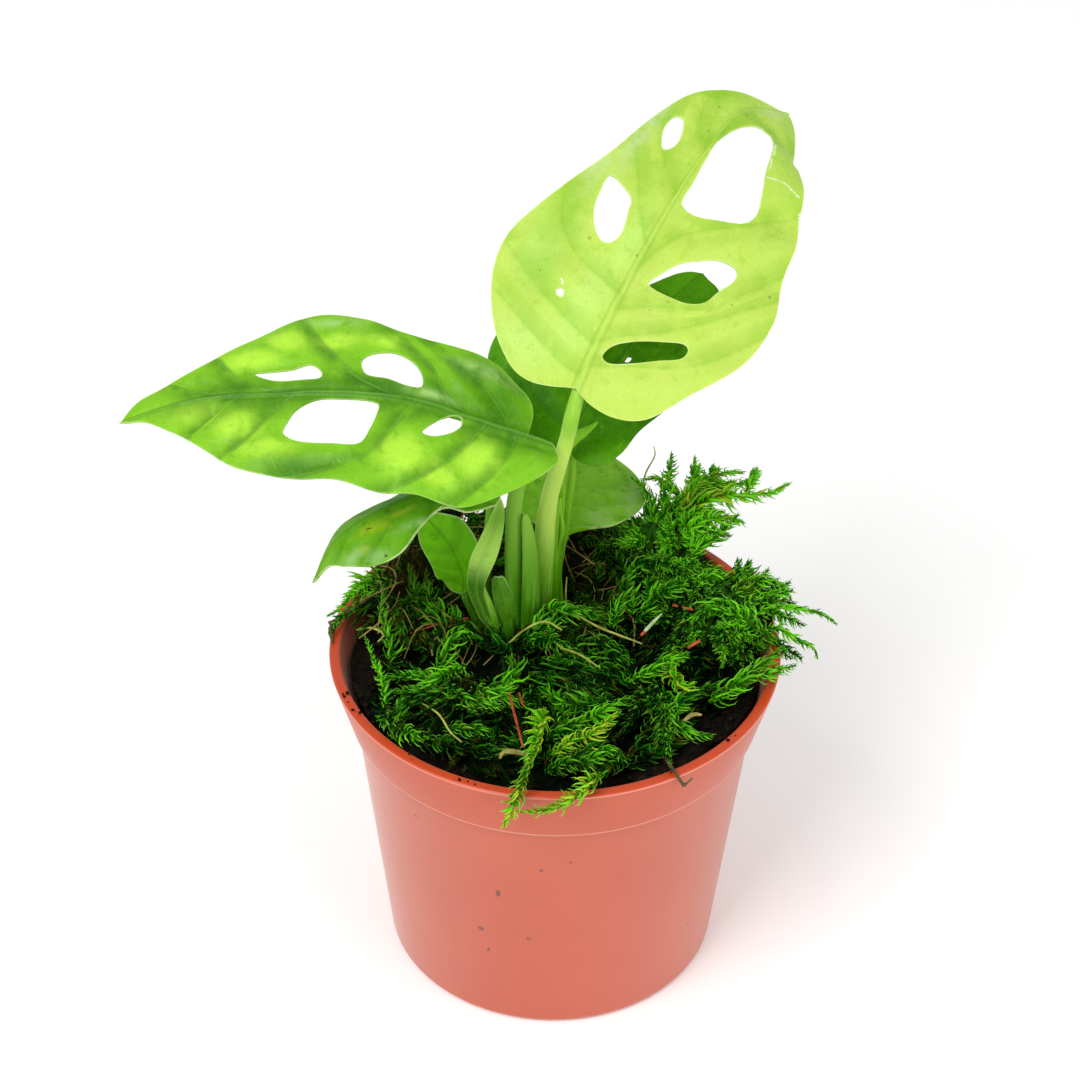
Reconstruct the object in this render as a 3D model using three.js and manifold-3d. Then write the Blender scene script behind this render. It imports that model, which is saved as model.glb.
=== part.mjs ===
// Young monstera adansonii growing in a round nursery pot, with moss on the soil.
// Millimetres, +Z up. The origin is the centre of the pot's underside.
// The plant's open side faces -Y; its tall leaf leans back towards +Y.
import * as THREE from "three";
import { mergeVertices } from "three/addons/utils/BufferGeometryUtils.js";
import Module from "manifold-3d";

const wasm = await Module();
wasm.setup();

// ---------------------------------------------------------------- driving dimensions
const GAP = 0.3; // clearance between neighbouring pieces

const RIM_R = 30; // a 6 cm pot, measured over the rim
const POT_H = 48.3;
const COLLAR_H = 8.8;
const COLLAR_FOOT_R = 27.7;
const BODY_TOP_R = 26.84;
const BASE_R = 22.6;
const BASE_FILLET = 1.2;
const RIM_WALL = 1.5;
const COLLAR_WALL = 1.3;
const BODY_WALL = 1.2;
const FLOOR_T = 1.6;
const RIM_EDGE = 0.35; // rounding of the rim's two edges
const POT_SEGMENTS = 44;
const DRAIN = { count: 6, ringR: 14, r: 2.4 };

const SOIL_TOP = 44;
const SOIL_RELIEF = 0.5;
const FOOT_Z = 37.5; // how deep the leaf stalks stand in the soil
const FOOT_R = 0.8;

const BLADE_T = 0.66; // thickness of a leaf blade
const BLADE_ROWS = 18;
const BLADE_COLS = 3; // strips from midrib to margin
const VEIN_SWEEP = 2; // how far the lateral veins reach forward
const HOLE_REACH = 2.2; // how far a hole's cutter stands out of the blade

const MOSS_SEED = 41;
const SHOOT = { whorlPitch: 2.7, coreR: 0.75, leafR: 2, sides: 6 };
const TUFT = { height: [1.2, 2.8], stray: 0.55 }; // the carpet's upright shoot tips

const GREEN_PALE = 0xb4dc64;
const GREEN_BRIGHT = 0x8cc83c;
const GREEN_DARK = 0x417a10;
const GREEN_GREY = 0x6ea046;
const GREEN_LEAF = 0x50902a;
const GREEN_STALK = 0x7cb040;

// ---------------------------------------------------------------- geometry helpers
const vec = (p) => new THREE.Vector3(p[0], p[1], p[2]);
const lerp = (a, b, t) => a + (b - a) * t;

// Seeded random numbers, 0 to 1.
function randomStream(seed) {
  let state = seed;
  return () => {
    state = (state * 1664525 + 1013904223) % 4294967296;
    return state / 4294967296;
  };
}

// A value given at the start, middle and end of a run.
function along(values, t) {
  if (!Array.isArray(values)) return values;
  return t < 0.5 ? lerp(values[0], values[1], t * 2) : lerp(values[1], values[2], t * 2 - 1);
}

function meshGeometry(points, faces) {
  const geometry = new THREE.BufferGeometry();
  geometry.setAttribute("position", new THREE.Float32BufferAttribute(points.flatMap((p) => [p.x, p.y, p.z]), 3));
  geometry.setIndex(faces.flat());
  return geometry;
}

function signedVolume(points, faces) {
  let sum = 0;
  for (const [a, b, c] of faces) sum += points[a].dot(points[b].clone().cross(points[c]));
  return sum / 6;
}

// A closed mesh whose faces are turned outward if they point in.
function closedGeometry(points, faces) {
  const outward = signedVolume(points, faces) > 0 ? faces : faces.map(([a, b, c]) => [a, c, b]);
  return meshGeometry(points, outward);
}

function toSolid(geometry) {
  const plain = geometry.clone();
  plain.deleteAttribute("normal");
  plain.deleteAttribute("uv");
  const merged = mergeVertices(plain, 1e-4);
  return new wasm.Manifold(
    new wasm.Mesh({
      numProp: 3,
      vertProperties: new Float32Array(merged.attributes.position.array),
      triVerts: new Uint32Array(merged.index.array),
    }),
  );
}

const union = (solids) => solids.reduce((sum, solid) => sum.add(solid));
const cut = (solid, tools) => tools.reduce((rest, tool) => rest.subtract(tool), solid);

// The largest of the bodies that a cut leaves.
function mainBody(solid) {
  return solid.decompose().reduce((best, body) => (body.volume() > best.volume() ? body : best));
}

function piece(name, solid, color, roughness = 0.5) {
  const { vertProperties, triVerts, numProp } = solid.getMesh();
  const geometry = new THREE.BufferGeometry();
  const xyz = [];
  for (let i = 0; i < vertProperties.length; i += numProp) {
    xyz.push(vertProperties[i], vertProperties[i + 1], vertProperties[i + 2]);
  }
  geometry.setAttribute("position", new THREE.Float32BufferAttribute(xyz, 3));
  geometry.setIndex([...triVerts]);
  geometry.computeVertexNormals();
  const mesh = new THREE.Mesh(geometry, new THREE.MeshStandardMaterial({ color, roughness, metalness: 0 }));
  mesh.name = name;
  return mesh;
}

// A slab between two offsets of a curved surface. flat holds points of the surface's own
// coordinates, loop runs round its edge, and both faces are split alike.
function slab(flat, triangles, loop, place, low, high) {
  const top = flat.map((q) => place(q, high));
  const bottom = flat.map((q) => place(q, low));
  const n = flat.length;
  const faces = [];
  for (const [a, b, c] of triangles) {
    faces.push([a, b, c], [a + n, c + n, b + n]);
  }
  const runsForward = triangles.some((t) => t.some((i, k) => i === loop[0] && t[(k + 1) % 3] === loop[1]));
  const walk = runsForward ? loop : [...loop].reverse();
  walk.forEach((i, k) => {
    const j = walk[(k + 1) % walk.length];
    faces.push([i, i + n, j + n], [i, j + n, j]);
  });
  return closedGeometry([...top, ...bottom], faces);
}

// A round stalk along points [x, y, z, radius], closed at both ends. radiusAt and star
// shape its skin; grow makes it fatter and longer, for the hole that it stands in.
function stalk(route, { sides = 8, steps = 12, grow = 0, radiusAt, star } = {}) {
  const curve = new THREE.CatmullRomCurve3(route.map(vec), false, "catmullrom", 0.5);
  const frames = curve.computeFrenetFrames(steps, false);
  const skin = new THREE.CylinderGeometry(1, 1, 1, sides, steps);
  const pos = skin.attributes.position;
  for (let i = 0; i < pos.count; i += 1) {
    const ring = Math.round((pos.getY(i) + 0.5) * steps);
    const t = ring / steps;
    const along01 = t * (route.length - 1);
    const k = Math.min(Math.floor(along01), route.length - 2);
    const routeR = lerp(route[k][3], route[k + 1][3], along01 - k);
    const corner = Math.hypot(pos.getX(i), pos.getZ(i)) < 0.5
      ? 0
      : Math.round((Math.atan2(pos.getX(i), pos.getZ(i)) / (2 * Math.PI)) * sides + sides) % sides;
    const starR = star ? star(ring, corner) : 1;
    const r = (radiusAt ? radiusAt(ring, t) : routeR) * starR + grow;
    const ends = (ring === steps) - (ring === 0);
    const point = curve.getPoint(t)
      .addScaledVector(frames.tangents[ring], ends * grow)
      .addScaledVector(frames.normals[ring], pos.getX(i) * r)
      .addScaledVector(frames.binormals[ring], pos.getZ(i) * r);
    pos.setXYZ(i, point.x, point.y, point.z);
  }
  const plain = skin.clone();
  plain.deleteAttribute("normal");
  plain.deleteAttribute("uv");
  const merged = mergeVertices(plain, 1e-4);
  const points = [];
  for (let i = 0; i < merged.attributes.position.count; i += 1) {
    points.push(new THREE.Vector3().fromBufferAttribute(merged.attributes.position, i));
  }
  const faces = [];
  for (let i = 0; i < merged.index.count; i += 3) {
    faces.push([merged.index.getX(i), merged.index.getX(i + 1), merged.index.getX(i + 2)]);
  }
  return toSolid(closedGeometry(points, faces));
}

// ---------------------------------------------------------------- leaf blades
// A blade is given on its own surface: v runs in mm along the midrib from the base, u
// across it, left negative. rib is the midrib in space, face the blade's upper side at
// base and tip, fold the angle of each half to the midrib plane, curl its bend per mm.
function bladeSurface({ rib, face, fold, curl, wave = [0, 9, 0] }) {
  const curve = new THREE.CatmullRomCurve3(rib.map(vec), false, "catmullrom", 0.5);
  const length = curve.getLength();
  const [faceBase, faceTip] = face.map(vec);
  const [waveHeight, waveLength, wavePhase] = wave;
  const at = (v, u, lift) => {
    const inside = THREE.MathUtils.clamp(v, 0, length);
    const t = curve.getUtoTmapping(inside / length);
    const tangent = curve.getTangent(t);
    const origin = curve.getPoint(t).addScaledVector(tangent, v - inside);
    const up = faceBase.clone().lerp(faceTip, t);
    up.addScaledVector(tangent, -up.dot(tangent)).normalize();
    const across = tangent.clone().cross(up);
    const side = u < 0 ? 0 : 1;
    const sign = u < 0 ? -1 : 1;
    const start = THREE.MathUtils.degToRad(along(fold[side], t));
    const bend = along(curl[side], t);
    const width = Math.abs(u);
    const angle = start + bend * width;
    const out = (Math.sin(angle) - Math.sin(start)) / bend;
    const ripple = waveHeight * Math.min(1, (width / 14) ** 2)
      * Math.sin((2 * Math.PI * v) / waveLength + wavePhase + side * 1.7);
    const height = (Math.cos(start) - Math.cos(angle)) / bend + ripple;
    return origin
      .addScaledVector(across, sign * (out - lift * Math.sin(angle)))
      .addScaledVector(up, height + lift * Math.cos(angle));
  };
  return { length, at };
}

function outline(points, count) {
  const curve = new THREE.CatmullRomCurve3(points.map(([v, u]) => new THREE.Vector3(v, u, 0)), false, "centripetal");
  return curve.getSpacedPoints(count);
}

// Points over the whole blade in rows that sweep forward like its lateral veins.
function bladeSolid(leaf, rows = BLADE_ROWS, cols = BLADE_COLS) {
  const surface = bladeSurface(leaf);
  const margin = {
    [-1]: outline([[0, 0], ...leaf.left, [surface.length, 0]], rows),
    1: outline([[0, 0], ...leaf.right, [surface.length, 0]], rows),
  };
  const flat = [new THREE.Vector2(0, 0)];
  const index = (row, col) => 1 + (row - 1) * (2 * cols + 1) + col + cols;
  for (let row = 1; row < rows; row += 1) {
    const foot = surface.length * (row / rows) ** VEIN_SWEEP;
    for (let col = -cols; col <= cols; col += 1) {
      const edge = margin[col < 0 ? -1 : 1][row];
      const t = Math.abs(col) / cols;
      flat.push(new THREE.Vector2(lerp(foot, edge.x, t), lerp(0, edge.y, t)));
    }
  }
  const tip = flat.length;
  flat.push(new THREE.Vector2(surface.length, 0));
  const triangles = [];
  for (let col = -cols; col < cols; col += 1) {
    triangles.push([0, index(1, col), index(1, col + 1)]);
    for (let row = 1; row < rows - 1; row += 1) {
      const [a, b, c, d] = [index(row, col), index(row, col + 1), index(row + 1, col + 1), index(row + 1, col)];
      if (col < 0) triangles.push([a, c, b], [a, d, c]);
      else triangles.push([a, d, b], [b, d, c]);
    }
    triangles.push([index(rows - 1, col + 1), index(rows - 1, col), tip]);
  }
  const loop = [0];
  for (let row = 1; row < rows; row += 1) loop.push(index(row, cols));
  loop.push(tip);
  for (let row = rows - 1; row > 0; row -= 1) loop.push(index(row, -cols));
  const place = (q, lift) => surface.at(q.x, q.y, lift);
  const body = toSolid(slab(flat, triangles, loop, place, -BLADE_T / 2, BLADE_T / 2));
  const holes = (leaf.holes ?? []).map((hole) => {
    const closed = new THREE.CatmullRomCurve3(hole.map(([v, u]) => new THREE.Vector3(v, u, 0)), true, "centripetal");
    const ring = closed.getSpacedPoints(leaf.holeSides ?? 12).slice(0, -1).map((p) => new THREE.Vector2(p.x, p.y));
    const caps = THREE.ShapeUtils.triangulateShape(ring, []);
    return toSolid(slab(ring, caps, ring.map((_, i) => i), place, -HOLE_REACH, HOLE_REACH));
  });
  return { surface, solid: cut(body, holes) };
}

// The stalk's route, carried on under the blade as its midrib.
function ribRoute(surface, stalkRoute, ribR, reach = 0.9) {
  const under = [0.06, 0.2, 0.42, 0.66, 1].map((part) => {
    const v = surface.length * part * reach;
    const r = lerp(ribR, 0.28, part);
    const point = surface.at(v, 0.001, -BLADE_T / 2 - r * 0.35);
    return [point.x, point.y, point.z, r];
  });
  return [...stalkRoute, ...under];
}

const FOOT = (x, y) => [[x, y, FOOT_Z, FOOT_R], [x, y, SOIL_TOP - 1, FOOT_R + 0.1]];

// ---------------------------------------------------------------- the leaves
// Stalk routes run upward from the foot in the soil, as [x, y, z, radius].
const LEAVES = {
  leaf_upright: {
    color: GREEN_PALE,
    rib: [[2.3, 6, 85.8], [5, 9, 91.5], [9.3, 15, 97.7], [13.7, 22, 102.6], [18.4, 30, 106], [23.7, 39, 107.1], [30.5, 47, 102.5]],
    face: [[-0.05, -0.75, 0.62], [0.25, -0.45, 0.85]],
    fold: [6, 6],
    curl: [-0.022, -0.01],
    wave: [0.35, 10, 0.6],
    left: [[-0.6, -1.6], [-1.6, -5.8], [-0.9, -8.7], [3.2, -12.9], [8.6, -16], [14.1, -16.5], [21.9, -13.5], [29.8, -10.2], [37.3, -8.4], [42.8, -6.3], [48, -3.2], [53.5, -1.2]],
    right: [[-0.9, 1.4], [-1.5, 5.6], [-0.1, 9.6], [5.7, 14], [12.5, 18], [19.1, 18.9], [25.6, 17.3], [32.1, 16.4], [39.5, 13.6], [46.5, 10.6], [52.5, 8], [56, 4.2], [57.6, 1.6]],
    holes: [
      [[26.7, -8.7], [25.9, -6.2], [23.2, -4.1], [18.6, -4.1], [18.8, -6], [21.4, -8.3]],
      [[38.9, -5.7], [38.6, -4.4], [36.1, -3.9], [33.3, -4.3], [36, -6]],
      [[45.3, 2], [48.6, 4], [46.6, 6.2], [39.6, 7.8], [32.9, 10], [29, 8.8], [27.2, 3.6], [28.8, 1], [35.9, 0.6], [40.1, 0.4]],
      [[15.9, 2.5], [19.6, 4.1], [22.7, 7.7], [23.4, 11.2], [21, 12], [15.9, 8.6], [15.5, 4.6]],
      [[4.9, 1.4], [7.3, 2.8], [9.6, 7.3], [10.5, 10.8], [7.9, 8.2], [5, 3]],
      [[9.9, -7.7], [9.9, -6.7], [9.2, -6.5], [9, -7.3]],
    ],
    stalk: [...FOOT(-1.6, 11), [-1.6, 10.8, 47.4, 1.25], [-1.6, 10.4, 53.2, 1.35], [-1.5, 9.8, 58.5, 1.45], [-1.3, 9, 63.1, 1.3], [-0.8, 8.2, 67.6, 1.15], [0.2, 7.4, 72.5, 1.05], [1.2, 6.8, 77.4, 1], [1.9, 6.2, 82, 1]],
    ribR: 0.95,
  },
  leaf_left: {
    color: GREEN_BRIGHT,
    rib: [[-4, 5, 78.8], [-10.6, 5.5, 80.9], [-18.3, 6, 83.5], [-27.2, 6.5, 84.3], [-36.9, 7, 83.5], [-46.6, 7.5, 82.1], [-56.6, 8, 78]],
    face: [[0.1, -0.3, 0.95], [-0.25, -0.25, 0.95]],
    fold: [4, 8],
    curl: [-0.028, -0.022],
    wave: [0.4, 12, 2.2],
    left: [[-1, 0.2], [-3.5, -0.2], [-4.6, -2], [-2.7, -5.5], [1.7, -9.9], [6.5, -12.9], [12.5, -13.4], [19.2, -13.9], [25.7, -12.9], [33.1, -12.4], [37.5, -11], [41.8, -8.2], [47, -4.2], [51, -1.1]],
    right: [[-0.2, 1.5], [0.2, 4.5], [4, 8.7], [8.5, 9.9], [18.1, 10.4], [22.8, 12.4], [26.8, 13.3], [30.8, 12], [37.7, 8.5], [42.5, 5.4], [47.8, 3.3], [51.8, 2.3]],
    holes: [
      [[36.1, 3.4], [32, 3.9], [29.2, 4.4], [27.3, 2.9], [30.1, 2.1], [34, 2.2]],
      [[22.4, 5.2], [20.3, 6.4], [17.3, 6.4], [14.6, 3], [16.1, 1.9], [21.3, 3.1]],
      [[31.7, -6.4], [30.4, -3.4], [27.2, -1.4], [20.1, -1.3], [19.9, -3.6], [20.6, -6.6], [24, -7.9]],
      [[13.3, -4.2], [11.9, -1.7], [9.2, -0.7], [8.7, -2.3], [11.2, -4.3]],
    ],
    stalk: [...FOOT(-5.5, 8), [-5.5, 7.8, 46.3, 1.2], [-5.6, 7.5, 51.7, 1.2], [-5.7, 7.1, 57.1, 1.15], [-5.7, 6.6, 62.5, 1.1], [-5.5, 6.1, 67.9, 1.05], [-4.6, 5.5, 73, 1], [-4, 5.1, 76.4, 0.95]],
    ribR: 0.9,
    sheath: [[-4.1, 7.3, 44.5, 1.1], [-3.7, 6.8, 52.4, 1.05], [-3.6, 6.3, 57.8, 0.95], [-3.9, 5.9, 62.3, 0.65], [-4.15, 5.6, 65.3, 0.22]],
  },
  leaf_back: {
    color: GREEN_DARK,
    rib: [[1.4, 13, 71.3], [4, 17, 74.7], [7.8, 21, 79], [12.8, 26, 83.4], [18.8, 31, 86.7]],
    face: [[-0.1, -0.55, 0.8], [0.2, -0.3, 0.9]],
    fold: [8, 8],
    curl: [-0.02, -0.03],
    wave: [0.25, 9, 1],
    left: [[-1.5, -2], [-2, -4.6], [-0.7, -8.6], [2.8, -12.6], [6.6, -16], [12.2, -15.6], [16.5, -12.2], [20.5, -7.4], [25, -3.6]],
    right: [[-1.1, 2.1], [-0.2, 5.3], [2.2, 6.8], [6.7, 7.5], [12, 8.9], [16.9, 9.4], [22, 8.9], [26.5, 6.6], [28.8, 3.4]],
    holes: [[[13.9, 0.1], [14.5, 0.2], [14.8, 1], [14.1, 1]]],
    holeSides: 8,
    stalk: [...FOOT(0.4, 13.7), [0.3, 13.1, 49.8, 0.6], [0.7, 12.8, 54.4, 0.55], [1.2, 12.6, 58, 0.5], [1.6, 12.7, 63, 0.5], [2, 12.9, 67.4, 0.5]],
    ribR: 0.55,
    rows: 16,
    cols: 3,
  },
  leaf_right: {
    color: GREEN_GREY,
    rib: [[1.2, 15, 55.1], [1.9, 20.5, 55.9], [2.7, 27.5, 56.3], [3.5, 34.5, 56.7]],
    face: [[0.1, -0.2, 0.97], [0.2, -0.05, 0.97]],
    fold: [14, 10],
    curl: [-0.02, -0.035],
    left: [[0.3, -1], [0.9, -5.4], [4.7, -7.9], [7.8, -7.8], [11.2, -6.5], [16, -3.4]],
    right: [[1.4, 0.5], [2.1, 3.6], [3.4, 6.4], [8.3, 9.7], [11.8, 10], [15, 8.3], [17.9, 4.4]],
    stalk: [...FOOT(-0.9, 16.6), [-0.7, 16.2, 46.8, 0.75], [-0.2, 15.9, 49, 0.65], [0.4, 15.4, 52.2, 0.6], [0.9, 15.1, 54.2, 0.6]],
    ribR: 0.5,
    rows: 12,
    cols: 3,
  },
  leaf_low: {
    color: GREEN_LEAF,
    rib: [[-7.4, 3.5, 69.9], [-12.6, 3, 71.5], [-18.1, 2, 71], [-23.9, 0.5, 68.9], [-28.4, -1, 66.2], [-31.6, -2, 60]],
    face: [[0.1, -0.25, 0.95], [-0.6, -0.3, 0.7]],
    fold: [10, [-10, -32, -20]],
    curl: [-0.05, -0.05],
    left: [[0.6, -1.2], [4.6, -3.6], [8.1, -2.8], [11.4, -4.6], [15.9, -7.4], [20.6, -7.1], [23.6, -4.6], [26, -1.8]],
    right: [[0.5, 1.6], [3.8, 3.5], [7.6, 4.4], [12, 5.2], [17, 5.4], [21, 4.4], [25, 2.6]],
    stalk: [...FOOT(-9.2, 5.9), [-9.6, 6.2, 47, 0.7], [-10.3, 6, 50.2, 0.65], [-10.8, 5.8, 52, 0.3]],
    neck: [[-7.9, 4.1, 65.6, 0.4], [-7.6, 3.8, 68.2, 0.5]],
    ribR: 0.5,
    rows: 14,
    cols: 3,
  },
  leaf_tiny: {
    color: GREEN_LEAF,
    rib: [[-12.3, 8, 50.6], [-12.3, 8.4, 53.4], [-13.7, 9.6, 56.7], [-15.9, 11.4, 58.8], [-18, 12.8, 60.6]],
    face: [[-0.3, -0.75, 0.6], [-0.3, -0.6, 0.75]],
    fold: [10, 16],
    curl: [-0.03, -0.03],
    left: [[0, -1.4], [2, -3.4], [6.5, -3.6], [10, -3.1], [12.2, -1.8]],
    right: [[0.6, 0.5], [2.2, 1.6], [4.7, 3.2], [7.3, 3.7], [9.5, 3.4], [11.8, 1.6]],
    stalk: [...FOOT(-10.2, 8.6), [-10.5, 8.3, 45.2, 0.6], [-11.4, 8.2, 47.8, 0.55], [-12.2, 8, 50.2, 0.5]],
    ribR: 0.45,
    rows: 10,
    cols: 2,
  },
};

// The young leaf's winged stalk: a twisted ribbon that carries leaf_low.
const RIBBON = {
  rib: [[-10.2, 6, 49.6], [-10.8, 5.8, 52], [-11, 5.4, 54.6], [-9.9, 4.9, 58.4], [-8.6, 4.4, 62.5], [-7.8, 3.9, 66.5], [-7.4, 3.6, 70]],
  face: [[-0.35, -0.8, 0.5], [0.45, -0.75, 0.5]],
  fold: [12, 12],
  curl: [-0.1, -0.1],
  left: [[1, -0.8], [4, -1.1], [8, -1.3], [13, -1.2], [18, -0.8]],
  right: [[1, 0.8], [4, 1], [8, 1.3], [13, 1.2], [18, 0.8]],
};

const SPEAR = [...FOOT(1.1, 11.2), [0.8, 11.5, 47, 0.4], [0.5, 11.5, 51, 0.38], [0.35, 11.2, 57, 0.38], [0.7, 10.6, 63, 0.4], [0.6, 10.6, 68.2, 0.5], [0.5, 10.4, 72.4, 0.85], [1.9, 10.3, 74.7, 0.9], [3.5, 10.2, 76, 0.6], [5.2, 10.4, 77.4, 0.12]];
const OLD_STALK = [...FOOT(-8.4, 10.2), [-9.2, 9.4, 50.1, 0.5], [-9.3, 9, 55.6, 0.48], [-9.2, 8.6, 60.1, 0.45], [-8.9, 8, 64.4, 0.42], [-8.6, 7.6, 67.2, 0.3]];
const CATAPHYLL = {
  stalk: [...FOOT(-6.6, 4.6), [-6.2, 5.2, 46.6, 0.75], [-6.3, 5.2, 49, 0.4]],
  rib: [[-6, 5.4, 46.2], [-6.3, 5.2, 49.4], [-7.1, 5.2, 52.3], [-7.7, 5.4, 55.5]],
  face: [[0, -1, 0.2], [-0.2, -1, 0.3]],
  fold: [-14, -14],
  curl: [-0.12, -0.12],
  left: [[0.8, -1], [4, -1.1], [7.5, -0.8]],
  right: [[0.8, 1], [4, 1.1], [7.5, 0.7]],
};

function buildLeaf(name, grow = 0) {
  const leaf = LEAVES[name];
  const blade = bladeSolid(leaf, leaf.rows, leaf.cols);
  const parts = [blade.solid];
  const steps = Math.round((leaf.stalk.length + 5) * 1.25);
  if (name === "leaf_low") {
    parts.push(stalk(ribRoute(blade.surface, leaf.neck, leaf.ribR), { sides: 6, steps: 10 }));
    parts.push(bladeSolid(RIBBON, 12, 1).solid, stalk(leaf.stalk, { sides: 8, steps: 7, grow }));
  } else {
    parts.push(stalk(ribRoute(blade.surface, leaf.stalk, leaf.ribR), { sides: 8, steps, grow }));
  }
  if (leaf.sheath) parts.push(stalk(leaf.sheath, { sides: 8, steps: 8, grow }));
  return union(parts);
}

// Everything that stands in the soil, fattened by grow.
function stalkSolids(grow) {
  const routes = Object.values(LEAVES).flatMap((leaf) => [leaf.stalk, leaf.sheath ?? []]);
  const cataphyllRoom = CATAPHYLL.rib.map((p) => [...p, 1.2]);
  return [...routes, SPEAR, OLD_STALK, CATAPHYLL.stalk, grow > 0 ? cataphyllRoom : []]
    .filter((route) => route.length > 0)
    .map((route) => stalk(route, { sides: 8, steps: (route.length - 1) * 2, grow }));
}

// ---------------------------------------------------------------- pot and soil
const bodyR = (z) => lerp(BASE_R, BODY_TOP_R, z / (POT_H - COLLAR_H));
const collarR = (z) => lerp(COLLAR_FOOT_R, RIM_R, (z - POT_H + COLLAR_H) / COLLAR_H);

function potProfile(grow) {
  const g = grow;
  const collarFoot = POT_H - COLLAR_H;
  return [
    [0, -g],
    [BASE_R - BASE_FILLET, -g],
    [BASE_R - BASE_FILLET * 0.3 + g, BASE_FILLET * 0.3],
    [bodyR(BASE_FILLET) + g, BASE_FILLET],
    [BODY_TOP_R + g, collarFoot - g],
    [COLLAR_FOOT_R + g, collarFoot - g],
    [RIM_R + g, POT_H - RIM_EDGE],
    [RIM_R - RIM_EDGE, POT_H + g],
    [RIM_R - RIM_WALL + RIM_EDGE, POT_H + g],
    [RIM_R - RIM_WALL - g, POT_H - RIM_EDGE],
    [collarR(collarFoot + 1.5) - COLLAR_WALL - g, collarFoot + 1.5],
    [bodyR(collarFoot - 1) - BODY_WALL - g, collarFoot - 1],
    [bodyR(FLOOR_T) - BODY_WALL - g, FLOOR_T + g],
    [0, FLOOR_T + g],
  ];
}

function lathe(profile) {
  const geometry = new THREE.LatheGeometry(profile.map(([r, z]) => new THREE.Vector2(r, z)), POT_SEGMENTS);
  geometry.rotateX(Math.PI / 2);
  const merged = mergeVertices(stripped(geometry), 1e-4);
  const points = [];
  for (let i = 0; i < merged.attributes.position.count; i += 1) {
    points.push(new THREE.Vector3().fromBufferAttribute(merged.attributes.position, i));
  }
  const faces = [];
  for (let i = 0; i < merged.index.count; i += 3) {
    const face = [merged.index.getX(i), merged.index.getX(i + 1), merged.index.getX(i + 2)];
    if (new Set(face).size === 3) faces.push(face);
  }
  return closedGeometry(points, faces);
}

function stripped(geometry) {
  geometry.deleteAttribute("normal");
  geometry.deleteAttribute("uv");
  return geometry;
}

function buildPot() {
  const drains = [];
  for (let i = 0; i < DRAIN.count; i += 1) {
    const hole = new THREE.CylinderGeometry(DRAIN.r, DRAIN.r, 3 * FLOOR_T, 16);
    hole.rotateX(Math.PI / 2);
    const turn = (i / DRAIN.count) * 2 * Math.PI;
    hole.translate(DRAIN.ringR * Math.cos(turn), DRAIN.ringR * Math.sin(turn), FLOOR_T / 2);
    drains.push(toSolid(hole));
  }
  return cut(toSolid(lathe(potProfile(0))), drains);
}

const soilLumps = (x, y) => SOIL_RELIEF
  * (Math.sin(0.55 * x + 1.3) * Math.cos(0.48 * y) + 0.6 * Math.sin(0.9 * y - 0.5 * x));

// The soil fills the pot's inside; grow swells it to leave room for the moss on it.
function soilSolid(grow) {
  const inner = (z) => (z > POT_H - COLLAR_H ? collarR(z) - COLLAR_WALL : bodyR(z) - BODY_WALL) - GAP + grow;
  const low = FLOOR_T + GAP;
  const geometry = lathe([
    [0, low],
    [inner(low) - 0.4, low],
    [inner(POT_H - COLLAR_H - 1) - 0.05, POT_H - COLLAR_H - 1],
    [inner(POT_H - COLLAR_H + 1.5) - 0.05, POT_H - COLLAR_H + 1.5],
    [inner(SOIL_TOP) - 0.05, SOIL_TOP],
    [20, SOIL_TOP],
    [10, SOIL_TOP],
    [0, SOIL_TOP],
  ]);
  const pos = geometry.attributes.position;
  for (let i = 0; i < pos.count; i += 1) {
    if (pos.getZ(i) > SOIL_TOP - 0.01) pos.setZ(i, SOIL_TOP + grow + soilLumps(pos.getX(i), pos.getY(i)));
  }
  return toSolid(geometry);
}

// ---------------------------------------------------------------- moss
const hump = (x, y, cx, cy, rx, ry) => Math.exp(-(((x - cx) / rx) ** 2) - ((y - cy) / ry) ** 2);

// Height of the moss carpet's dense core.
function mossTop(x, y) {
  return 45.6 + 6 * hump(x, y, 22, 15, 8, 11) + 1.8 * hump(x, y, -2, -15, 15, 9)
    + 1.5 * hump(x, y, -15, 2, 6, 7) + 0.5 * Math.sin(0.9 * x) * Math.cos(0.8 * y + 1);
}

const oldMossTop = (x, y) => 45.7 + 1.4 * hump(x, y, -4, 20, 10, 6) + 0.4 * Math.sin(1.1 * x + y);

// How far the carpet reaches from its centre, by direction in degrees; it leaves bare
// soil inside the rim at the left and at the right front.
function mossReach(turn) {
  const from = (centre) => Math.abs(((turn - centre + 540) % 360) - 180);
  const bareLeft = 6 * Math.exp(-((from(172) / 16) ** 2));
  const bareFront = 7 * Math.exp(-((from(-38) / 15) ** 2));
  return 27.4 - bareLeft - bareFront;
}

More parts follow.
